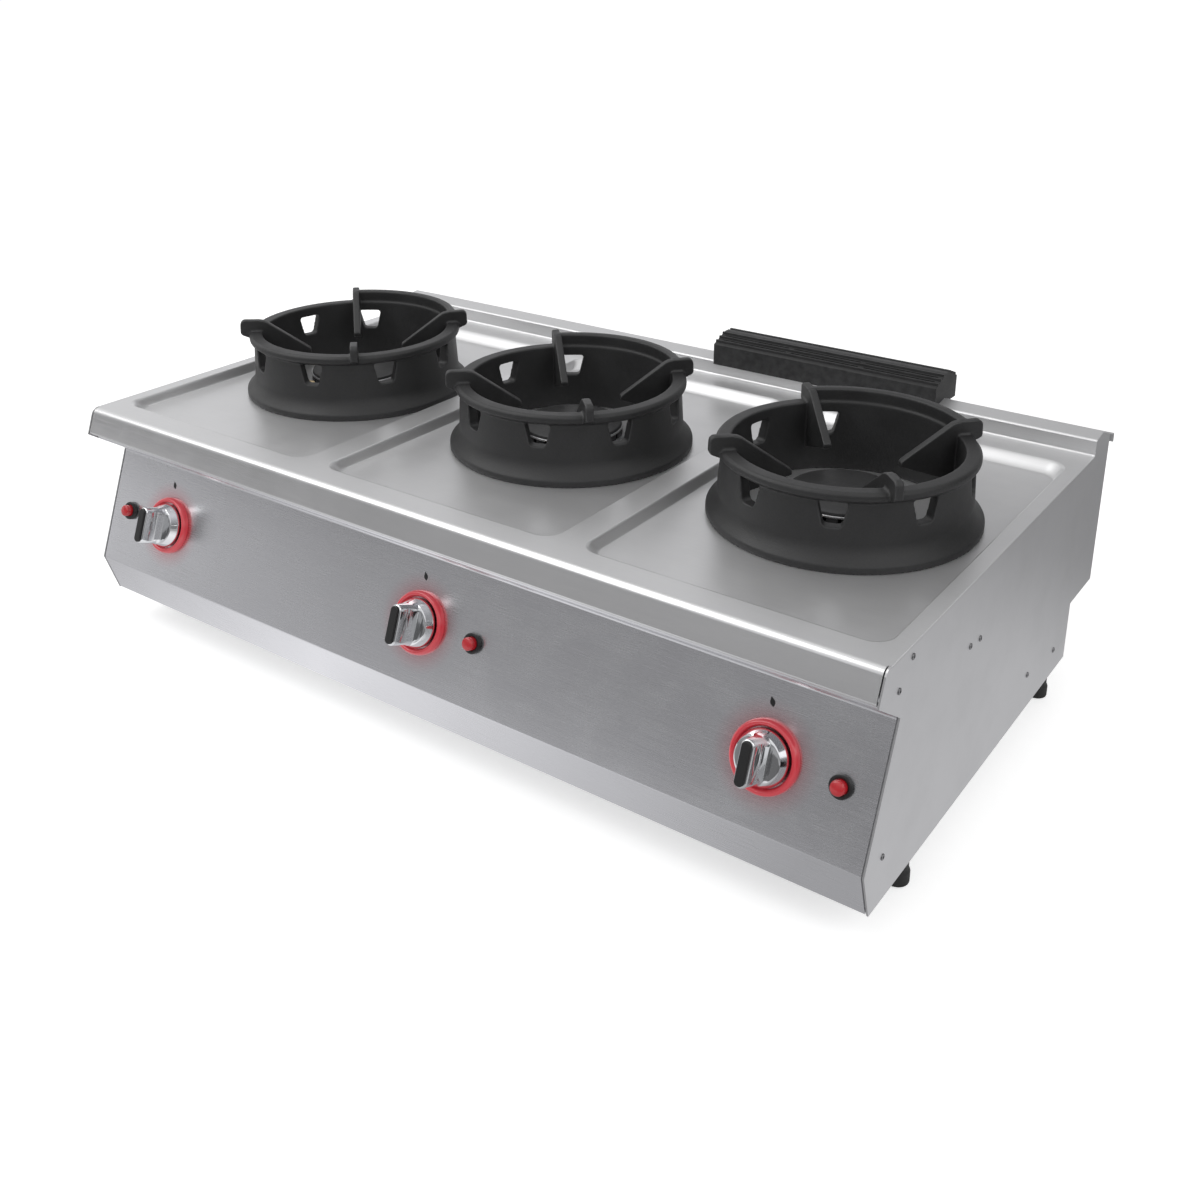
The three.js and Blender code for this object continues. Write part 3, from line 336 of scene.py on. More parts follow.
def newGroup(name, **inputs):
    group = bpy.data.node_groups.new(name, "ShaderNodeTree")
    for label, value in inputs.items():
        kind = "NodeSocketVector" if isinstance(value, tuple) else "NodeSocketFloat"
        group.interface.new_socket(label, in_out="INPUT", socket_type=kind).default_value = value
    return group, group.nodes.new("NodeGroupInput").outputs


def closeGroup(group, **results):
    for label in results:
        group.interface.new_socket(label, in_out="OUTPUT", socket_type="NodeSocketFloat")
    feed(group, group.nodes.new("NodeGroupOutput"), results)
    return group


def makeBrushedGroup(setting):
    group, given = newGroup("brushedGrain", Stretch=(10, 900, 900), Smudges=0.5)
    place = objectPlace(group)
    lines = noise(group, vectorNode(group, "MULTIPLY", place, given["Stretch"]), *setting["lines"])
    clouds = noise(group, place, *setting["clouds"])
    wipes = mapRange(group, noise(group, place, *setting["wipes"]), *setting["wiped"], 0, 1)
    marks = mathNode(group, "MULTIPLY", wipes, given["Smudges"])
    tone = mathNode(group, "ADD", spread(group, lines, *setting["lineTone"]),
                    spread(group, clouds, *setting["cloudTone"]))
    tone = mathNode(group, "SUBTRACT", tone, mathNode(group, "MULTIPLY", marks, setting["wipeTone"]))
    rough = mathNode(group, "ADD", spread(group, lines, *setting["lineRoughness"]),
                     mathNode(group, "MULTIPLY", marks, setting["wipeRoughness"]))
    return closeGroup(group, Tone=tone, Roughness=rough, Height=lines)


def makeCastGroup(setting):
    group, given = newGroup("castGrain", Scale=1.0)
    place = vectorNode(group, "SCALE", objectPlace(group), given["Scale"])
    sand = noise(group, place, *setting["sand"])
    lumps = noise(group, place, *setting["lumps"])
    patches = noise(group, place, *setting["patches"])
    height = mathNode(group, "ADD", mathNode(group, "MULTIPLY", sand, setting["sandHeight"]),
                      mathNode(group, "MULTIPLY", lumps, setting["lumpHeight"]))
    tone = mathNode(group, "ADD", spread(group, patches, *setting["patchTone"]),
                    spread(group, sand, *setting["sandTone"]))
    rough = spread(group, patches, *setting["patchRoughness"])
    return closeGroup(group, Tone=tone, Roughness=rough, Height=height)


# a painted highlight: convex edges, found by their pointiness and broken up by noise
def makeEdgeHighlightGroup(setting):
    group, given = newGroup("paintedEdgeHighlight", From=0.52, To=0.60)
    pointed = group.nodes.new("ShaderNodeNewGeometry").outputs["Pointiness"]
    edges = mapRange(group, pointed, given["From"], given["To"], 0, 1)
    breaks = noise(group, objectPlace(group), *setting["breaks"])
    broken = mapRange(group, breaks, *setting["broken"], setting["least"], 1)
    return closeGroup(group, Mask=mathNode(group, "MULTIPLY", edges, broken))


# a mask for the painted red glow, fading out from a knob's centre
def makeBezelGlowGroup():
    group, given = newGroup("bezelGlowPaint", Centre=(0, 0, 0), Inner=0.038, Outer=0.064, Fade=1.6)
    away = vectorNode(group, "DISTANCE", objectPlace(group), given["Centre"])
    near = mapRange(group, away, given["Inner"], given["Outer"], 1, 0)
    return closeGroup(group, Mask=mathNode(group, "POWER", near, given["Fade"]))


groups = {"brushed": makeBrushedGroup(brushedSet), "cast": makeCastGroup(castSet),
          "edgeLight": makeEdgeHighlightGroup(edgeHighlightSet), "bezelGlowPaint": makeBezelGlowGroup()}


# finishes

grainDepth = {"sheet": 0.00004, "cast": 0.0006, "fine": 0.0002}  # metres, at a relief of 1


def newFinish(name):
    material = bpy.data.materials.new(name)
    material.use_nodes = True
    tree = material.node_tree
    return material, tree, tree.nodes["Principled BSDF"]


def useGroup(tree, key, **values):
    node = tree.nodes.new("ShaderNodeGroup")
    node.node_tree = groups[key]
    feed(tree, node, values)
    return node.outputs


def tinted(tree, shader, colour, tone):
    shade = mixed(tree, 1.0, (*colour, 1), tone, "MULTIPLY")
    feed(tree, shader, {"Base Color": shade})
    return shade


def roughened(tree, shader, grain, roughness, share=1.0):
    varied = mathNode(tree, "MULTIPLY", grain["Roughness"], share)
    feed(tree, shader, {"Roughness": mathNode(tree, "ADD", varied, roughness)})


def bumped(tree, shader, grain, relief, depth):
    bump = tree.nodes.new("ShaderNodeBump")
    feed(tree, bump, {"Strength": relief, "Distance": grainDepth[depth], "Height": grain["Height"]})
    feed(tree, shader, {"Normal": bump.outputs["Normal"]})


def sheetMetal(name, colour, roughness, stretch, smudges, relief=0.2, metal=1.0, front=None):
    # front is [y, how much smoother] for a sheet whose folded front edge is smoother than its flat
    material, tree, shader = newFinish(name)
    grain = useGroup(tree, "brushed", Stretch=stretch, Smudges=smudges)
    tinted(tree, shader, colour, grain["Tone"])
    rough = mathNode(tree, "ADD", grain["Roughness"], roughness)
    if front:
        edge, smoother = front
        apart = tree.nodes.new("ShaderNodeSeparateXYZ")
        feed(tree, apart, {0: objectPlace(tree)})
        rough = mathNode(tree, "SUBTRACT", rough,
                         mapRange(tree, apart.outputs["Y"], edge, edge + 0.01, smoother, 0))
    feed(tree, shader, {"Metallic": metal, "Roughness": rough})
    bumped(tree, shader, grain, relief, "sheet")
    return material


def castMetal(name, colour, roughness, scale, relief, highlightColour):
    material, tree, shader = newFinish(name)
    grain = useGroup(tree, "cast", Scale=scale)
    edgeLight = useGroup(tree, "edgeLight", From=0.515, To=0.585)
    body = tinted(tree, shader, colour, grain["Tone"])
    # convex edges take the lighter colour, a painted highlight
    shade = mixed(tree, edgeLight["Mask"], body, (*highlightColour, 1))
    feed(tree, shader, {"Base Color": shade, "Metallic": 0.0, "Specular IOR Level": 0.45})
    roughened(tree, shader, grain, roughness)
    bumped(tree, shader, grain, relief, "cast")
    return material


def plainMetal(name, colour, roughness, scale=1.5, relief=0.08):
    material, tree, shader = newFinish(name)
    grain = useGroup(tree, "cast", Scale=scale)
    feed(tree, shader, {"Metallic": 1.0})
    tinted(tree, shader, colour, grain["Tone"])
    roughened(tree, shader, grain, roughness, 0.6)
    bumped(tree, shader, grain, relief, "fine")
    return material


def moulded(name, colour, roughness, coat, relief, glow=0.0):
    material, tree, shader = newFinish(name)
    grain = useGroup(tree, "cast", Scale=2.2)
    tinted(tree, shader, colour, mapRange(tree, grain["Tone"], 0.6, 1.4, 0.9, 1.1))
    roughened(tree, shader, grain, roughness, 0.4)
    feed(tree, shader, {"Coat Weight": coat, "Coat Roughness": 0.08})
    bumped(tree, shader, grain, relief, "fine")
    if glow:
        feed(tree, shader, {"Emission Color": (*colour, 1), "Emission Strength": glow})
    return material


def polished(name, colour, roughness):
    material, tree, shader = newFinish(name)
    grain = useGroup(tree, "brushed", Stretch=(220, 220, 220), Smudges=1.0)
    tinted(tree, shader, colour, mapRange(tree, grain["Tone"], 0.85, 1.05, 0.94, 1.0))
    rough = mapRange(tree, grain["Roughness"], -0.05, 0.14, roughness, roughness + 0.05)
    feed(tree, shader, {"Metallic": 1.0, "Roughness": rough})
    return material


finish = {
    "stainless": sheetMetal("stainless", colour=(0.66, 0.66, 0.665), roughness=0.38, stretch=(14, 1500, 1500),
                            smudges=0.8, metal=0.75, front=(-0.337, 0.2)),
    # the side panels' stainless runs its grain front to back, and is darker than the worktop's as painted
    # shade
    "stainlessSideShaded": sheetMetal("stainlessSideShaded", colour=(0.56, 0.56, 0.565), roughness=0.36,
                                stretch=(1500, 14, 1500), smudges=0.6),
    "panel_steel": sheetMetal("panelSteel", colour=(0.70, 0.70, 0.72), roughness=0.25,
                              stretch=(16, 2600, 2600), smudges=0.5, relief=0.06),
    "galvanised": sheetMetal("galvanised", colour=(0.46, 0.47, 0.48), roughness=0.46, stretch=(60, 60, 60),
                             smudges=0.9),
    "cast_iron": castMetal("castIron", colour=(0.018, 0.018, 0.0185), roughness=0.5, scale=1.0, relief=0.5,
                           highlightColour=(0.06, 0.06, 0.062)),
    "blackCast": castMetal("blackCast", colour=(0.012, 0.012, 0.0125), roughness=0.5, scale=1.6, relief=0.25,
                           highlightColour=(0.04, 0.04, 0.041)),
    "brass": plainMetal("brass", colour=(0.60, 0.46, 0.25), roughness=0.28),
    "copper": plainMetal("copperTube", colour=(0.62, 0.36, 0.24), roughness=0.30),
    "alloy": plainMetal("dieCastAlloy", colour=(0.55, 0.55, 0.56), roughness=0.42, scale=1.2, relief=0.25),
    "screwSteel": plainMetal("screwSteel", colour=(0.22, 0.22, 0.225), roughness=0.34),
    "chrome": polished("chrome", colour=(0.80, 0.81, 0.82), roughness=0.04),
    "black_plastic": moulded("blackPlastic", colour=(0.008, 0.008, 0.0085), roughness=0.42, coat=0.08,
                             relief=0.12),
    "red_plastic": moulded("redPlastic", colour=(0.48, 0.014, 0.022), roughness=0.24, coat=0.5, relief=0.03,
                           glow=0.06),
    "litRed": moulded("litRed", colour=(0.55, 0.035, 0.05), roughness=0.22, coat=0.8, relief=0.03, glow=0.25),
    "rubber": moulded("footRubber", colour=(0.014, 0.014, 0.014), roughness=0.6, coat=0.0, relief=0.3),
}
print("finishes made:", len(finish))

slotOf = {entry["node"]: entry["material_slot"] for entry in frame["record"]["subparts"]}
for name, thing in nodes.items():
    thing.data.materials.clear()
    # the side panels take the darker copy of the stainless, painted shade
    key = "stainlessSideShaded" if name.startswith("side_panel") else slotOf[name]
    thing.data.materials.append(finish[key])


# where things are, read from the frame, in millimetres

def boxOf(name):
    low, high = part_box(name)
    return low / mm, high / mm


def middleOf(name):
    low, high = boxOf(name)
    return (low.x + high.x) / 2, (low.y + high.y) / 2


noseY = boxOf("side_panel_right")[0].y
halfWidth = round(cadBox[1][0] / mm)
insideHalf = halfWidth - 3.5  # the sheets end just inside the side panels
bayX = [-400, 0, 400]


# worktop; y is measured from the nose

worktopShape = {
    "sheet": 2, "top": 330, "bend": 4,
    "lipBottom": 295, "lipBack": 3, "lipTop": 16.435, "lipReturn": 9, "lipBend": 3, "frontBend": 10,
    "notchBack": 24.31,
    "upstandY": 646, "upstandTop": 352, "crestY": 674, "crest": 356,
    "rearY": 730, "rearTop": 336, "rearBottom": 324,
    "basinFront": 54, "basinBack": 605, "basinHalf": 182, "basinDepth": 13.5, "basinCorner": 24,
    "slopeSide": 8, "slopeFront": 15, "slopeBack": 21,
    "collarRadius": 49, "collarWall": 3, "collarHeight": 5,
    "pilotHole": 7.5, "pilotFront": 96, "through": 9, "flueGap": 1, "flueCut": (310, 360),
}


def basinLevels(shape, x, grow, lid, steps=9):
    levels = []
    for k in range(steps, -1, -1):
        share = k / steps
        fall = share * share * (3 - 2 * share)
        half = shape["basinHalf"] - shape["slopeSide"] * share + grow
        outline = roundedRectangle(x - half, x + half,
                                   noseY + shape["basinFront"] + shape["slopeFront"] * share - grow,
                                   noseY + shape["basinBack"] - shape["slopeBack"] * share + grow,
                                   shape["basinCorner"] + grow, 10)
        levels.append((outline, shape["top"] - shape["basinDepth"] * fall - grow))
    levels.append((levels[-1][0], shape["top"] + lid))
    return levels


def addBasin(top, shape, x):
    # pressed down, with a collar for the burner and a hole for the pilot in its floor
    combined(top, lofted("basinOut", basinLevels(shape, x, shape["sheet"], -1)), "UNION")
    combined(top, lofted("basinIn", basinLevels(shape, x, 0, 1)), "DIFFERENCE")
    ringY = middleOf("wok_ring_1")[1]
    floorZ = shape["top"] - shape["basinDepth"]
    low, high = floorZ - shape["through"], floorZ + shape["through"]
    outer = shape["collarRadius"]
    collar = drum("collar", outer, floorZ - 1, floorZ + shape["collarHeight"])
    combined(top, placed(collar, moved(x, ringY)), "UNION")
    hole = drum("hole", outer - shape["collarWall"], low, high)
    combined(top, placed(hole, moved(x, ringY)), "DIFFERENCE")
    pilotHole = drum("pilotHole", shape["pilotHole"], low, high, 24)
    combined(top, placed(pilotHole, moved(x, ringY - shape["pilotFront"])), "DIFFERENCE")


def makeWorktop(shape):
    path = [(shape["lipBack"] + shape["lipReturn"], shape["lipBottom"]),
            (shape["lipBack"], shape["lipBottom"], shape["lipBend"]),
            (shape["lipTop"], shape["top"], shape["frontBend"]),
            (shape["upstandY"], shape["top"], shape["bend"]),
            (shape["upstandY"], shape["upstandTop"], shape["bend"]),
            (shape["crestY"], shape["crest"], shape["bend"]),
            (shape["rearY"], shape["rearTop"], shape["bend"]),
            (shape["rearY"], shape["rearBottom"])]
    section = foldedSection([(noseY + y, *rest) for y, *rest in path], shape["sheet"], 10)
    top = barAlongX("worktop", section, -halfWidth, halfWidth)
    for x in bayX:
        addBasin(top, shape, x)
    for side in (-1, 1):
        ends = sorted((side * insideHalf, side * (halfWidth + 1)))
        notch = block("notch", noseY - 1, noseY + shape["notchBack"], shape["lipBottom"] - 1,
                      shape["top"] + 1, *ends)
        combined(top, notch, "DIFFERENCE")
    (low, high), gap = boxOf("flue_duct"), shape["flueGap"]
    flue = block("flue", low.y - gap, high.y + gap, *shape["flueCut"], low.x - gap, high.x + gap)
    combined(top, flue, "DIFFERENCE")
    return smoothed(top, 30)


fitted(makeWorktop(worktopShape), finish["stainless"], "stainless", "casing", "worktop")
print("worktop made")


# control panel; y is measured from the nose

panelShape = {"slant": radians(21), "topZ": 257, "noseZ": 107, "bevelBack": 18, "bottomZ": 50,
              "bottomReturn": 26, "hookY": 16, "hookHeight": 18, "bend": 4, "sheet": 2}
# colour and share of the painted red glow round the knobs
glowPaintShape = {"colour": (0.75, 0.22, 0.25), "share": 0.5}
knobX = [-473, 0, 473]
igniterX = [-558, 85, 558]
controlDrop = 83  # knobs and igniters below the panel's upper edge
panelTopY = (panelShape["topZ"] - panelShape["noseZ"]) * tan(panelShape["slant"])
panelTurn = Matrix.Rotation(pi / 2 - panelShape["slant"], 4, "X")
panelFrame = moved(0, noseY + panelTopY, panelShape["topZ"]) @ panelTurn


def onPanel(x, below=controlDrop):
    return panelFrame @ moved(x, -below)


def makeControlPanel(shape):
    lipY, lipZ = worktopShape["lipBack"], worktopShape["lipBottom"]
    hookZ = lipZ - (shape["hookY"] - lipY) * (lipZ - shape["topZ"]) / (panelTopY - lipY)
    path = [(shape["hookY"], hookZ + shape["hookHeight"]),
            (shape["hookY"], hookZ, shape["bend"]),
            (panelTopY, shape["topZ"], shape["bend"]),
            (0, shape["noseZ"], shape["bend"]),
            (shape["bevelBack"], shape["bottomZ"], shape["bend"]),
            (shape["bevelBack"] + shape["bottomReturn"], shape["bottomZ"])]
    section = foldedSection([(noseY + y, *rest) for y, *rest in path], -shape["sheet"])
    return smoothed(barAlongX("control_panel", section, -insideHalf, insideHalf), 30)


def paintBezelGlow(material, setting):
    # a painted red glow from the lit bezels: red mixed into the steel's colour round each knob
    tree = material.node_tree
    shader = tree.nodes["Principled BSDF"]
    steel = shader.inputs["Base Color"].links[0].from_socket
    masks = [useGroup(tree, "bezelGlowPaint", Centre=onPanel(x).translation)["Mask"] for x in knobX]
    nearest = mathNode(tree, "MAXIMUM", mathNode(tree, "MAXIMUM", masks[0], masks[1]), masks[2])
    factor = mathNode(tree, "MULTIPLY", nearest, setting["share"])
    feed(tree, shader, {"Base Color": mixed(tree, factor, steel, (*setting["colour"], 1))})


fitted(makeControlPanel(panelShape), finish["panel_steel"], "panel_steel", "casing", "control_panel")
paintBezelGlow(finish["panel_steel"], glowPaintShape)
print("control panel made")


# wok rings; the fin's points are [distance from the axis, height, rounding]

ringShape = {
    "baseRadius": 162, "baseEdge": 8, "flareTop": 28, "flarePull": 2, "wallRadius": 146.5, "wall": 12.5,
    "taper": 2.5, "height": 90, "bead": 6, "beadHeight": 10, "beadSlope": 4,
    "finThickness": 10, "finRoot": [(143, 50), (143, 28)],
    "finTop": [(66, 54, 1.5), (66, 60, 2.5), (130, 106, 20)], "finOverhang": 12.5, "earTop": 108,
    "earBottom": 86, "earRoot": [(149, 79), (143, 74)],
    "rimRise": 17, "rimInset": 4, "rimBottom": 84, "rimSteps": 24,
    "windows": 8, "pitch": 41, "windowBottom": 47, "windowTop": 76, "bottomWidth": 20, "topWidth": 34,
    "voxel": 1.4, "softening": 2,
}
ringBore = ringShape["wallRadius"] - ringShape["wall"]
ringBead = ringShape["wallRadius"] + ringShape["bead"]


def makeRingWall(shape):
    top = shape["height"]
    beadBottom = top - shape["beadHeight"]
    flareRadius = shape["wallRadius"] + shape["taper"]
    flare = curved((shape["baseRadius"], shape["baseEdge"]),
                   (flareRadius + shape["flarePull"], (shape["baseEdge"] + shape["flareTop"]) / 2),
                   (flareRadius, shape["flareTop"]), 12)
    outline = [(ringBore, 0), (shape["baseRadius"], 0), *flare,
               (shape["wallRadius"], beadBottom - shape["beadSlope"]), (ringBead - 1, beadBottom),
               (ringBead, beadBottom + 2), (ringBead, top - 3), (ringBead - 3, top), (ringBore + 1, top),
               (ringBore, top - 1)]
    return outwards(turned("ringWall", outline, 192))


def makeFin(shape):
    # it reaches inwards from the wall and stands out past the bead as an ear
    end = ringBead + shape["finOverhang"]
    outline = roundedCourse([*shape["finRoot"], *shape["finTop"], (end - 1, shape["earTop"], 7),
                             (end, shape["earBottom"], 6), *shape["earRoot"], shape["finRoot"][0]], 5)[1:]
    half = shape["finThickness"] / 2
    return prism("fin", outline, -half, half)


def makeRim(shape):
    # the raised rear quarter
    inner, outer = ringBore + 2, ringBead - shape["rimInset"]
    bottom, top = shape["rimBottom"], shape["height"] + shape["rimRise"]
    profile = [(inner, bottom), (outer, bottom), (outer, top - 3), (outer - 2, top), (inner + 2, top),
               (inner, top - 2)]
    count, steps = len(profile), shape["rimSteps"]
    points, faces = [], []
    for k in range(steps + 1):
        angle = radians(45 + 90 * k / steps)
        points += [(r * cos(angle), r * sin(angle), z) for r, z in profile]
        if k:
            a, b = count * (k - 1), count * k
            faces += [(a + i, a + (i + 1) % count, b + (i + 1) % count, b + i) for i in range(count)]
    ends = [tuple(range(count)), tuple(reversed(range(count * steps, count * (steps + 1))))]
    return outwards(newObject("rim", points, faces + ends))


def makeWindow(shape):
    # it narrows downwards, and cuts from inside the bore to outside the foot
    low, high = shape["bottomWidth"] / 2, shape["topWidth"] / 2
    sill, head = shape["windowBottom"], shape["windowTop"]
    outline = roundedCourse([(0, sill), (low, sill, 5), (high, head, 3), (-high, head, 3), (-low, sill, 5),
                             (0, sill)], 5)[1:]
    return prism("window", outline, 12 - ringBore, -18 - shape["baseRadius"])


def makeRing(shape):
    ring = makeRingWall(shape)
    for angle in (45, 135, 225, 315):
        combined(ring, placed(makeFin(shape), Matrix.Rotation(radians(angle), 4, "Z")), "UNION")
    combined(ring, makeRim(shape), "UNION")
    for k in range(shape["windows"]):
        angle = (k - (shape["windows"] - 1) / 2) * shape["pitch"]
        combined(ring, placed(makeWindow(shape), Matrix.Rotation(radians(angle), 4, "Z")), "DIFFERENCE")
    remesh = ring.modifiers.new("cast", "REMESH")
    remesh.mode = "VOXEL"
    remesh.voxel_size = shape["voxel"] * mm
    soften = ring.modifiers.new("soften", "SMOOTH")
    soften.factor = 0.5
    soften.iterations = shape["softening"]
    applied(ring)
    ring.data.shade_smooth()
    return ring


for i, ring in enumerate(repeated(makeRing(ringShape), ["ring_1", "ring_2", "ring_3"]), 1):
    node = f"wok_ring_{i}"
    ring.location = Vector((*middleOf(node), boxOf(node)[0].z)) * mm
    fitted(ring, finish["cast_iron"], "cast_iron", node, node)
print("wok rings made:", len(ring.data.polygons), "faces each")


# burner heads; each stands on a spigot that goes down into its burner body

headShape = {"radius": 68, "height": 25, "spigot": 34.4, "spigotDepth": 10, "ports": 24, "portWidth": 4,
             "portLow": 7, "portHigh": 14, "bands": [(2, 6.6), (14.4, 17)]}


def makeHead(shape):
    r, h, s, depth = shape["radius"], shape["height"], shape["spigot"], shape["spigotDepth"]
    outline = [(s, -depth), (s, 0), (r - 6, 0), (r - 2, 1.5), (r, 5), (r, h - 9), (r - 2, h - 5),
               (r - 8, h - 3), (r * 0.7, h - 1.4), (r * 0.45, h), (0, h), (0, h - 5), (r - 5, h - 10),
               (r - 5, 5), (s - 4, 5), (s - 4, -depth)]
    head = outwards(turned("head", outline, 96))
    half = shape["portWidth"] / 2
    for k in range(shape["ports"]):
        port = block("port", -half, half, shape["portLow"], shape["portHigh"], r - 12, r + 9)
        turn = Matrix.Rotation(2 * pi * (k + 0.5) / shape["ports"], 4, "Z")
        combined(head, placed(port, turn), "DIFFERENCE")
    return smoothed(head, 30)


def makeHeadBands(shape):
    # machined bands below and above the ports
    r = shape["radius"]
    bands = []
    for low, high in shape["bands"]:
        outline = [(r - 2, low), (r + 0.5, low), (r + 0.9, low + 0.5), (r + 0.9, high - 0.5), (r + 0.5, high),
                   (r - 2, high)]
        bands.append(outwards(turned("bands", outline, 96)))
    return smoothed(combined(*bands, "UNION"), 35)


heads = repeated(makeHead(headShape), ["head_1", "head_2", "head_3"])
bands = repeated(makeHeadBands(headShape), ["headBands_1", "headBands_2", "headBands_3"])
for i, (head, band) in enumerate(zip(heads, bands), 1):
    node = f"burner_head_{i}"
    head.location = Vector((*middleOf(node), boxOf(node)[0].z + headShape["spigotDepth"])) * mm
    band.location = head.location
    fitted(head, finish["cast_iron"], "cast_iron", node, node)
    fitted(band, finish["alloy"], "alloy", node)
print("burner heads made")


# knobs, bezels and igniters; z is measured outwards from the panel

knobShape = {
    "radius": 30, "lift": 7, "skirt": 13, "length": 50, "width": 21, "narrowing": 3, "corner": 8, "front": 48,
    "flare": 2, "waist": 2.5, "scoop": 15, "plate": 2.8, "gap": 0.3,
    "tongueLength": 30, "tongueWidth": 8, "tongueDepth": 4,
}
bezelShape = {"inner": 31.2, "outer": 39, "back": 0.3, "crownBack": 2.3, "crownRise": 6}
buttonShape = {"radius": 8, "back": -12, "front": 14}
igniterShape = {"barrel": [(0, -38), (10, -38), (10, -7.3)], "nut": [(14, -7.3), (14, -2.3), (10, -2.3)],
                "rim": [(10, 0.3), (12.5, 0.3), (12.5, 3.6), (12, 4.6), (11, 5)],
                "bore": [(9.2, 5), (8.6, 4.6), (8.4, 4), (8.4, -21), (0, -21)]}


def pill(length, breadth):
    return roundedRectangle(-breadth / 2, breadth / 2, -length / 2, length / 2, breadth / 2 - 0.01, 10)


def gripOutline(shape, grow, z):
    # the grip narrows from its foot to its front
    foot = shape["lift"] + shape["skirt"]
    narrower = shape["narrowing"] * max(0, min(1, (z - foot) / (shape["front"] - foot)))
    across, along = shape["width"] / 2 + grow - narrower, shape["length"] / 2 + grow
    return roundedRectangle(-across, across, -along, along, min(shape["corner"] + grow, across - 0.1))


def makeKnob(shape):
    r, back, front, flare = shape["radius"], shape["lift"], shape["front"], shape["flare"]
    foot = back + shape["skirt"]
    skirt = turned("skirt", [(0, back), (r - 0.6, back), (r, back + 0.8), (r, back + 3),
                             (r - 0.8, back + 4.5), (r - 4, foot - 0.8), (r - 6, foot), (0, foot)], 96)
    levels = [(gripOutline(shape, grow, z), z) for grow, z in (
        (flare, foot - 4), (flare / 2, foot + 2), (0, foot + 6), (0, front - 2), (-0.4, front - 1),
        (-1.1, front - 0.3), (-flare, front))]
    knob = combined(skirt, lofted("grip", levels), "UNION")
    reach = shape["length"] / 2 + 5
    middle = shape["width"] / 2 - shape["waist"] + shape["scoop"]
    for side in (-1, 1):
        scoop = drum("scoop", shape["scoop"], -reach, reach, 96)
        placed(scoop, moved(side * middle, 0, (foot + front) / 2 + 2) @ Matrix.Rotation(pi / 2, 4, "X"))
        combined(knob, scoop, "DIFFERENCE")
    gap = shape["gap"]
    hole = pill(shape["tongueLength"] + 2 * gap, shape["tongueWidth"] + 2 * gap)
    pocket = lofted("pocket", [(hole, front - shape["tongueDepth"] - gap), (hole, front + 1)])
    combined(knob, pocket, "DIFFERENCE")
    return smoothed(softEdges(knob, 0.5, 3), 35)


def makeInsert(shape):
    # a plate over the front of the grip, with a tongue behind it
    back = shape["front"] + shape["gap"]
    front = back + shape["plate"]
    plate = lofted("insert", [(gripOutline(shape, -shape["flare"] - inset, z), z) for inset, z in (
        (0.3, back), (0, back + 0.3), (0, front - 1), (0.3, front - 0.4), (1, front))])
    tongue = pill(shape["tongueLength"], shape["tongueWidth"])
    behind = lofted("tongue", [(tongue, shape["front"] - shape["tongueDepth"]), (tongue, back + 1)])
    return smoothed(combined(plate, behind, "UNION"), 35)


def makeBezel(shape):
    inner, outer, back = shape["inner"], shape["outer"], shape["back"]
    steps = 14
    crown = [((inner + outer) / 2 + (outer - inner) / 2 * cos(pi * k / steps),
              shape["crownBack"] + shape["crownRise"] * sin(pi * k / steps)) for k in range(steps + 1)]
    return smoothed(outwards(turned("bezel", [(inner, back), (outer, back), *crown], 128)), 40)


def makeButton(shape):
    r, back, front = shape["radius"], shape["back"], shape["front"]
    return smoothed(turned("button", [(0, back), (r, back), (r, front - 3.4), (r - 0.3, front - 2.1),
                                      (r - 1, front - 1.2), (r - 2.4, front - 0.6), (r - 5, front - 0.2),
                                      (0, front)]), 40)


def makeIgniterBody(shape):
    # a barrel behind the panel with its nut, and a rim in front, bored for the button
    outline = [point for part in shape.values() for point in part]
    return smoothed(outwards(turned("igniterBody", outline)), 35)


controls = [  # how it's made, its name, finish, body, the node that it replaces, and where it is
    (makeKnob, knobShape, "knob", "chrome", "knob_{}", "knob_{}", knobX),
    (makeInsert, knobShape, "knobInsert", "black_plastic", "knob_{}", "knob_insert_{}", knobX),
    (makeBezel, bezelShape, "knobBezel", "litRed", "casing", "knob_bezel_{}", knobX),
    (makeButton, buttonShape, "igniterButton", "red_plastic", "igniter_button_{}", "igniter_button_{}",
     igniterX),
    (makeIgniterBody, igniterShape, "igniterRim", "black_plastic", "casing", "igniter_body_{}", igniterX),
]
for i in (1, 2, 3):
    for make, shape, label, key, body, cadNode, places in controls:
        thing = placed(make(shape), onPanel(places[i - 1]))
        thing.name = f"{label}_{i}.shown"
        slotName = "red_plastic" if key == "litRed" else key
        fitted(thing, finish[key], slotName, body.format(i), cadNode.format(i))
print("controls made")


# printed marks above the knobs, each a slim drop

markShape = {"length": 11, "width": 7.5, "lean": 24, "aside": -5, "below": 27, "back": 0.02, "front": 0.12}


def makeMark(shape):
    half, broad, steps = shape["length"] / 2, shape["width"] / 2, 12
    outline = [(broad * sin(pi * k / steps) * (0.45 + 0.05 * k), half - shape["length"] * k / steps)
               for k in range(steps + 1)]
    outline += [(-x, y) for x, y in outline[1:-1]][::-1]
    mark = prism("mark", outline, shape["back"], shape["front"], upright=False)
    return placed(mark, Matrix.Rotation(radians(shape["lean"]), 4, "Z"))


for i, x in enumerate(knobX, 1):
    mark = placed(makeMark(markShape), onPanel(x + markShape["aside"], markShape["below"]))
    mark.name = f"knobMark_{i}"
    fitted(mark, finish["black_plastic"], "black_plastic", "casing")
print("marks made")


# screws that hold the side panels and the back

screwShape = {"head": 3.6, "rise": 1.3, "recess": 1.7, "deep": 0.9}
# y from the nose, z from the ground
sideScrews = [(49, 291), (77, 315), (240, 248), (269, 244), (42, 106), (568, 86), (464, 101)]
backScrews = [(x, z) for x in (-590, 590) for z in (150, 230, 305)]


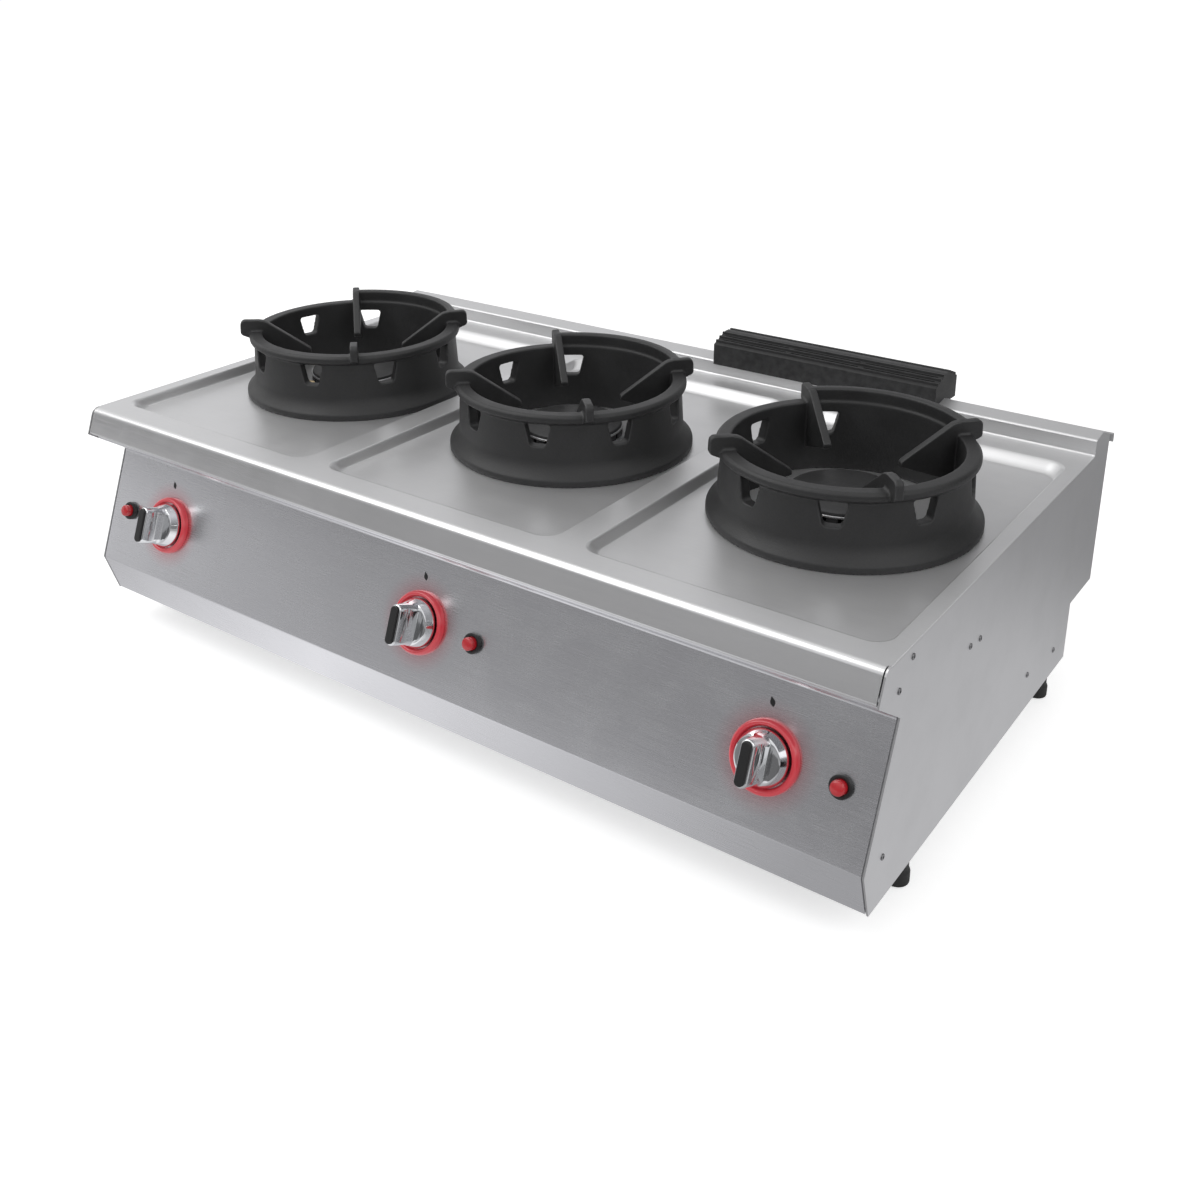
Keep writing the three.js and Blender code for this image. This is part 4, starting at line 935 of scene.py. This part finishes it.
def makeScrew(shape):
    r, h = shape["head"], shape["rise"]
    screw = turned("screw", [(0, 0.05), (r, 0.05), (r, h * 0.35), (r * 0.93, h * 0.7), (r * 0.72, h * 0.93),
                             (r * 0.4, h), (0, h)], 32)
    socket = drum("socket", shape["recess"], h - shape["deep"], h + 1, 6)
    return smoothed(combined(screw, socket, "DIFFERENCE"), 35)


backFace = boxOf("back_panel")[1].y
screwPlaces = [moved(side * halfWidth, noseY + y, z) @ Matrix.Rotation(side * pi / 2, 4, "Y")
               for side in (-1, 1) for y, z in sideScrews]
screwPlaces += [moved(x, backFace, z) @ Matrix.Rotation(-pi / 2, 4, "X") for x, z in backScrews]
screws = repeated(makeScrew(screwShape), [f"screw_{i}" for i in range(1, len(screwPlaces) + 1)])
for screw, matrix in zip(screws, screwPlaces):
    screw.matrix_world = matrix
    fitted(screw, finish["screwSteel"], "alloy", "casing")
print("screws made:", len(screwPlaces))


# flue cap; its heights are above the worktop

capShape = {"wall": 4, "bottom": 18, "shoulder": 49, "ridge": 62, "ridgeHalf": 5,
            "ribs": 3, "ribHeight": 3, "ribWidth": 4, "slotHalf": 2, "slotBelow": 12, "slotAbove": 9}


def capOutline(shape, y0, y1):
    # one half with its ribs, and the same mirrored
    middle, top = (y0 + y1) / 2, worktopShape["top"]
    shoulder, half = top + shape["shoulder"], shape["ribWidth"] / 2
    slope = (shape["ridge"] - shape["shoulder"]) / (middle - shape["ridgeHalf"] - y0)
    front = [(y0, top + shape["bottom"]), (y0, shoulder)]
    for k in range(shape["ribs"]):
        y, z = onCapSlope(shape, y0, y1, k)
        front += [(y - half, z - slope * half), (y - half + 0.5, z + shape["ribHeight"]),
                  (y + half - 0.5, z + shape["ribHeight"]), (y + half, z + slope * half)]
    front.append((middle - shape["ridgeHalf"], top + shape["ridge"]))
    return front + [(2 * middle - y, z) for y, z in reversed(front)]


def onCapSlope(shape, y0, y1, k):
    # rib number k, and a slot where k lies half-way between two ribs
    share = (k + 0.75) / (shape["ribs"] + 0.4)
    run, rise = (y1 - y0) / 2 - shape["ridgeHalf"], shape["ridge"] - shape["shoulder"]
    return y0 + run * share, worktopShape["top"] + shape["shoulder"] + rise * share


def seatOutline():
    # what the cap leaves free for the upstand that it sits on
    top = worktopShape
    face, crestY, crest, run = noseY + top["upstandY"], noseY + top["crestY"], top["crest"] + 0.4, 80
    fall = (top["crest"] - top["rearTop"]) / (top["rearY"] - top["crestY"])
    return [(face - 0.3, 280), (face - 0.3, top["upstandTop"] - 3), (face + 3, top["upstandTop"] + 0.7),
            (crestY, crest), (crestY + run, crest - fall * run), (crestY + run, 280)]


def makeFlueCap(shape):
    low, high = boxOf("flue_cap")
    x0, x1, y0, y1 = low.x, high.x, low.y, high.y
    middle, wall, top = (y0 + y1) / 2, shape["wall"], worktopShape["top"]
    cap = barAlongX("flue_cap.shown", capOutline(shape, y0, y1), x0, x1)
    under, shoulder, inner = top + shape["ridge"] - wall, top + shape["shoulder"] - 1, shape["ridgeHalf"] + 1
    hollow = barAlongX("hollow", [(y0 + wall, top), (y0 + wall, shoulder), (middle - inner, under),
                                  (middle + inner, under), (y1 - wall, shoulder), (y1 - wall, top)],
                       x0 + wall, x1 - wall)
    combined(cap, hollow, "DIFFERENCE")
    combined(cap, barAlongX("seat", seatOutline(), x0 - 20, x1 + 20), "DIFFERENCE")
    bay, half = (x1 - x0 - 8 * wall) / 3, shape["slotHalf"]
    for row in range(shape["ribs"] - 1):
        slotY, z = onCapSlope(shape, y0, y1, row + 0.5)
        low, high = z - shape["slotBelow"], z + shape["slotAbove"]
        for y in (slotY, 2 * middle - slotY):
            for k in (-1, 0, 1):
                x = (x0 + x1) / 2 + k * (bay + 2 * wall)
                slot = block("slot", y - half, y + half, low, high, x - bay / 2, x + bay / 2)
                combined(cap, slot, "DIFFERENCE")
    return smoothed(softEdges(cap, 0.6, 2), 35)


fitted(makeFlueCap(capShape), finish["blackCast"], "cast_iron", "flue_cap", "flue_cap")
print("flue cap made")


# feet

footShape = {"pad": 14, "padHeight": 14, "stem": 12, "height": 49.7}


def makeFoot(shape):
    r, h, s, top = shape["pad"], shape["padHeight"], shape["stem"], shape["height"]
    return smoothed(turned("foot", [(0, 0), (r - 1.4, 0), (r - 0.4, 0.6), (r, 1.8), (r, h), (r - 0.6, h + 2),
                                    (s + 0.2, h + 4.5), (s, h + 6), (s, top), (0, top)]), 35)


for corner in ("front_left", "front_right", "rear_left", "rear_right"):
    foot = placed(makeFoot(footShape), moved(*middleOf(f"foot_{corner}")))
    foot.name = f"foot_{corner}.shown"
    fitted(foot, finish["rubber"], "rubber", "casing", f"foot_{corner}")
print("feet made")


# camera

cameraSet = {"place": (1.0038, -1.3364, 0.9705), "azimuth": 35.103, "elevation": 20.269, "roll": 0.078,
             "focal": 1325.85, "centre": (618.66, 410.55), "picture": 1200}  # metres, degrees and pixels


def makeCamera(setting):
    az, el, roll = (radians(setting[key]) for key in ("azimuth", "elevation", "roll"))
    back = Vector((sin(az) * cos(el), -cos(az) * cos(el), sin(el)))
    right = Vector((cos(az), sin(az), 0))
    up = back.cross(right)
    right, up = cos(roll) * right + sin(roll) * up, cos(roll) * up - sin(roll) * right
    data = bpy.data.cameras.new("camera")
    size = setting["picture"]
    data.sensor_width = 36
    data.lens = setting["focal"] / size * 36
    data.shift_x = (size / 2 - setting["centre"][0]) / size
    data.shift_y = (setting["centre"][1] - size / 2) / size
    data.clip_end = 100
    camera = bpy.data.objects.new("camera", data)
    bpy.context.scene.collection.objects.link(camera)
    turn = Matrix((right, up, back)).transposed().to_4x4()
    camera.matrix_world = Matrix.Translation(setting["place"]) @ turn
    bpy.context.scene.camera = camera


makeCamera(cameraSet)


# studio: floor, world, lamps and the cards that the steel mirrors

studio = {"fill": 0.60, "floorTone": 0.80, "mirroredFloor": 0.20, "floorHalf": 30000, "floorZ": -0.5,
          "paperGrain": 40.0, "paperWhite": 1.03}
lamps = {  # place and target in metres, size, power
    "keyLamp": ((-1.4, -1.2, 2.6), (0, 0, 0.3), 2.4, 34),
    "sideLamp": ((2.4, -0.4, 1.8), (0.2, 0, 0.2), 1.8, 14),
}
cards = {  # two opposite corners, the axis that the tone runs along, and its [share, tone] stops
    "panelCard": ((-5500, -3200, -50), (3500, -3200, 600), "X",
                  [(0, 1.15), (0.12, 0.94), (0.24, 0.52), (0.38, 0.32), (0.55, 0.16), (1, 0.08)]),
    "lipCard": ((-5500, -3200, 600), (3500, -3200, 900), "X",
                [(0, 0.05), (0.25, 0.18), (0.6, 0.40), (1, 0.5)]),
    "darkCard": ((-5500, -3200, 900), (3500, -3200, 1300), "X", [(0, 0.28), (1, 0.26)]),
    "riserCard": ((-5500, -3200, 1300), (3500, -3200, 2900), "X",
                  [(0, 0.35), (0.3, 0.5), (0.5, 0.85), (1, 0.85)]),
    "bevelCard": ((-3200, -3100, 1), (2400, -300, 1), "X",
                  [(0, 0.5), (0.44, 0.62), (0.53, 1.05), (0.66, 0.46), (1, 0.35)]),
    "sideCard": ((605, -400, 1), (2600, 1400, 1), "Y", [(0, 0.80), (0.4, 0.72), (0.6, 0.40), (1, 0.32)]),
    "rightCard": ((3200, -3600, 0), (3200, -300, 2600), "Y",
                  [(0, 0.04), (0.3, 0.06), (0.36, 0.95), (0.5, 0.95), (0.56, 0.05), (1, 0.3)]),
    "slopeCard": ((3200, -300, 0), (3200, 7000, 3600), "Y", [(0, 0.3), (0.12, 0.08), (1, 0.08)]),
    "backCard": ((-24000, 12000, 1500), (8000, 12000, 8600), "X",
                 [(0, 0.9), (0.26, 1.1), (0.34, 1.1), (0.55, 1.0), (0.66, 0.42), (1, 0.4)]),
    "crestCard": ((-24000, 12000, 8600), (8000, 12000, 18000), "X", [(0, 0.5), (1, 0.35)]),
}


def seenDirectly(tree, mirrored=1.0):
    # 1 for the camera and for glass, and the given share of it for what metal mirrors
    path = tree.nodes.new("ShaderNodeLightPath").outputs
    inMetal = mathNode(tree, "MULTIPLY", path["Is Glossy Ray"], mirrored)
    inGlass = mathNode(tree, "MAXIMUM", inMetal, path["Is Transmission Ray"])
    return mathNode(tree, "MAXIMUM", path["Is Camera Ray"], inGlass)


def flatCorners(low, high):
    # the corners between two opposite ones that share a coordinate
    (x0, y0, z0), (x1, y1, z1) = low, high
    if z0 == z1:
        return [(x0, y0, z0), (x1, y0, z0), (x1, y1, z0), (x0, y1, z0)]
    return [(x0, y0, z0), (x1, y1, z0), (x1, y1, z1), (x0, y0, z1)]


def makeWorld(setting):
    world = bpy.data.worlds.new("studio")
    bpy.context.scene.world = world
    world.use_nodes = True
    tree = world.node_tree
    background = tree.nodes["Background"]
    strength = mapRange(tree, seenDirectly(tree), 0, 1, setting["fill"], 1.0)
    feed(tree, background, {"Color": (1, 1, 1, 1), "Strength": strength})


def makeFloor(setting):
    # the paper's own light is what the fill leaves short of white, so only the object's shadow shows on it
    half, z, tone = setting["floorHalf"], setting["floorZ"], setting["floorTone"]
    floor = newObject("floor", flatCorners((-half, -half, z), (half, half, z)), [(0, 1, 2, 3)])
    material, tree, shader = newFinish("floorPaper")
    grain = noise(tree, objectPlace(tree), setting["paperGrain"])
    tinted(tree, shader, (tone, tone, tone), spread(tree, grain, 0.99, 1.01))
    missing = setting["paperWhite"] - tone * setting["fill"]
    glow = mathNode(tree, "MULTIPLY", seenDirectly(tree, setting["mirroredFloor"]), missing)
    feed(tree, shader, {"Roughness": 0.9, "Specular IOR Level": 0.0, "Emission Color": (1, 1, 1, 1),
                        "Emission Strength": glow})
    floor.data.materials.append(material)


def makeLamp(name, place, target, size, power):
    data = bpy.data.lights.new(name, "AREA")
    data.shape = "SQUARE"
    data.size = size
    data.energy = power
    lamp = bpy.data.objects.new(name, data)
    bpy.context.scene.collection.objects.link(lamp)
    lamp.location = place
    lamp.rotation_euler = (Vector(target) - Vector(place)).to_track_quat("-Z", "Y").to_euler()


def makeCard(name, low, high, along, stops):
    # a card that only reflections see
    card = newObject(name, flatCorners(low, high), [(0, 1, 2, 3)])
    material = bpy.data.materials.new(name)
    material.use_nodes = True
    tree = material.node_tree
    tree.nodes.clear()
    out = tree.nodes.new("ShaderNodeOutputMaterial")
    glow = tree.nodes.new("ShaderNodeEmission")
    apart = tree.nodes.new("ShaderNodeSeparateXYZ")
    feed(tree, apart, {0: tree.nodes.new("ShaderNodeTexCoord").outputs["Generated"]})
    ramp = tree.nodes.new("ShaderNodeValToRGB")
    for k, (share, tone) in enumerate(stops):
        stop = ramp.color_ramp.elements[k] if k < 2 else ramp.color_ramp.elements.new(share)
        stop.position = share
        stop.color = (tone, tone, tone * 1.02, 1)
    feed(tree, ramp, {"Fac": apart.outputs[along]})
    feed(tree, glow, {"Color": ramp.outputs["Color"]})
    feed(tree, out, {"Surface": glow.outputs[0]})
    card.data.materials.append(material)
    card.visible_camera = False
    card.visible_diffuse = False
    card.visible_shadow = False


makeWorld(studio)
makeFloor(studio)
for name, lamp in lamps.items():
    makeLamp(name, *lamp)
for name, card in cards.items():
    makeCard(name, *card)
bpy.context.scene.view_settings.view_transform = "Standard"
print("studio made")
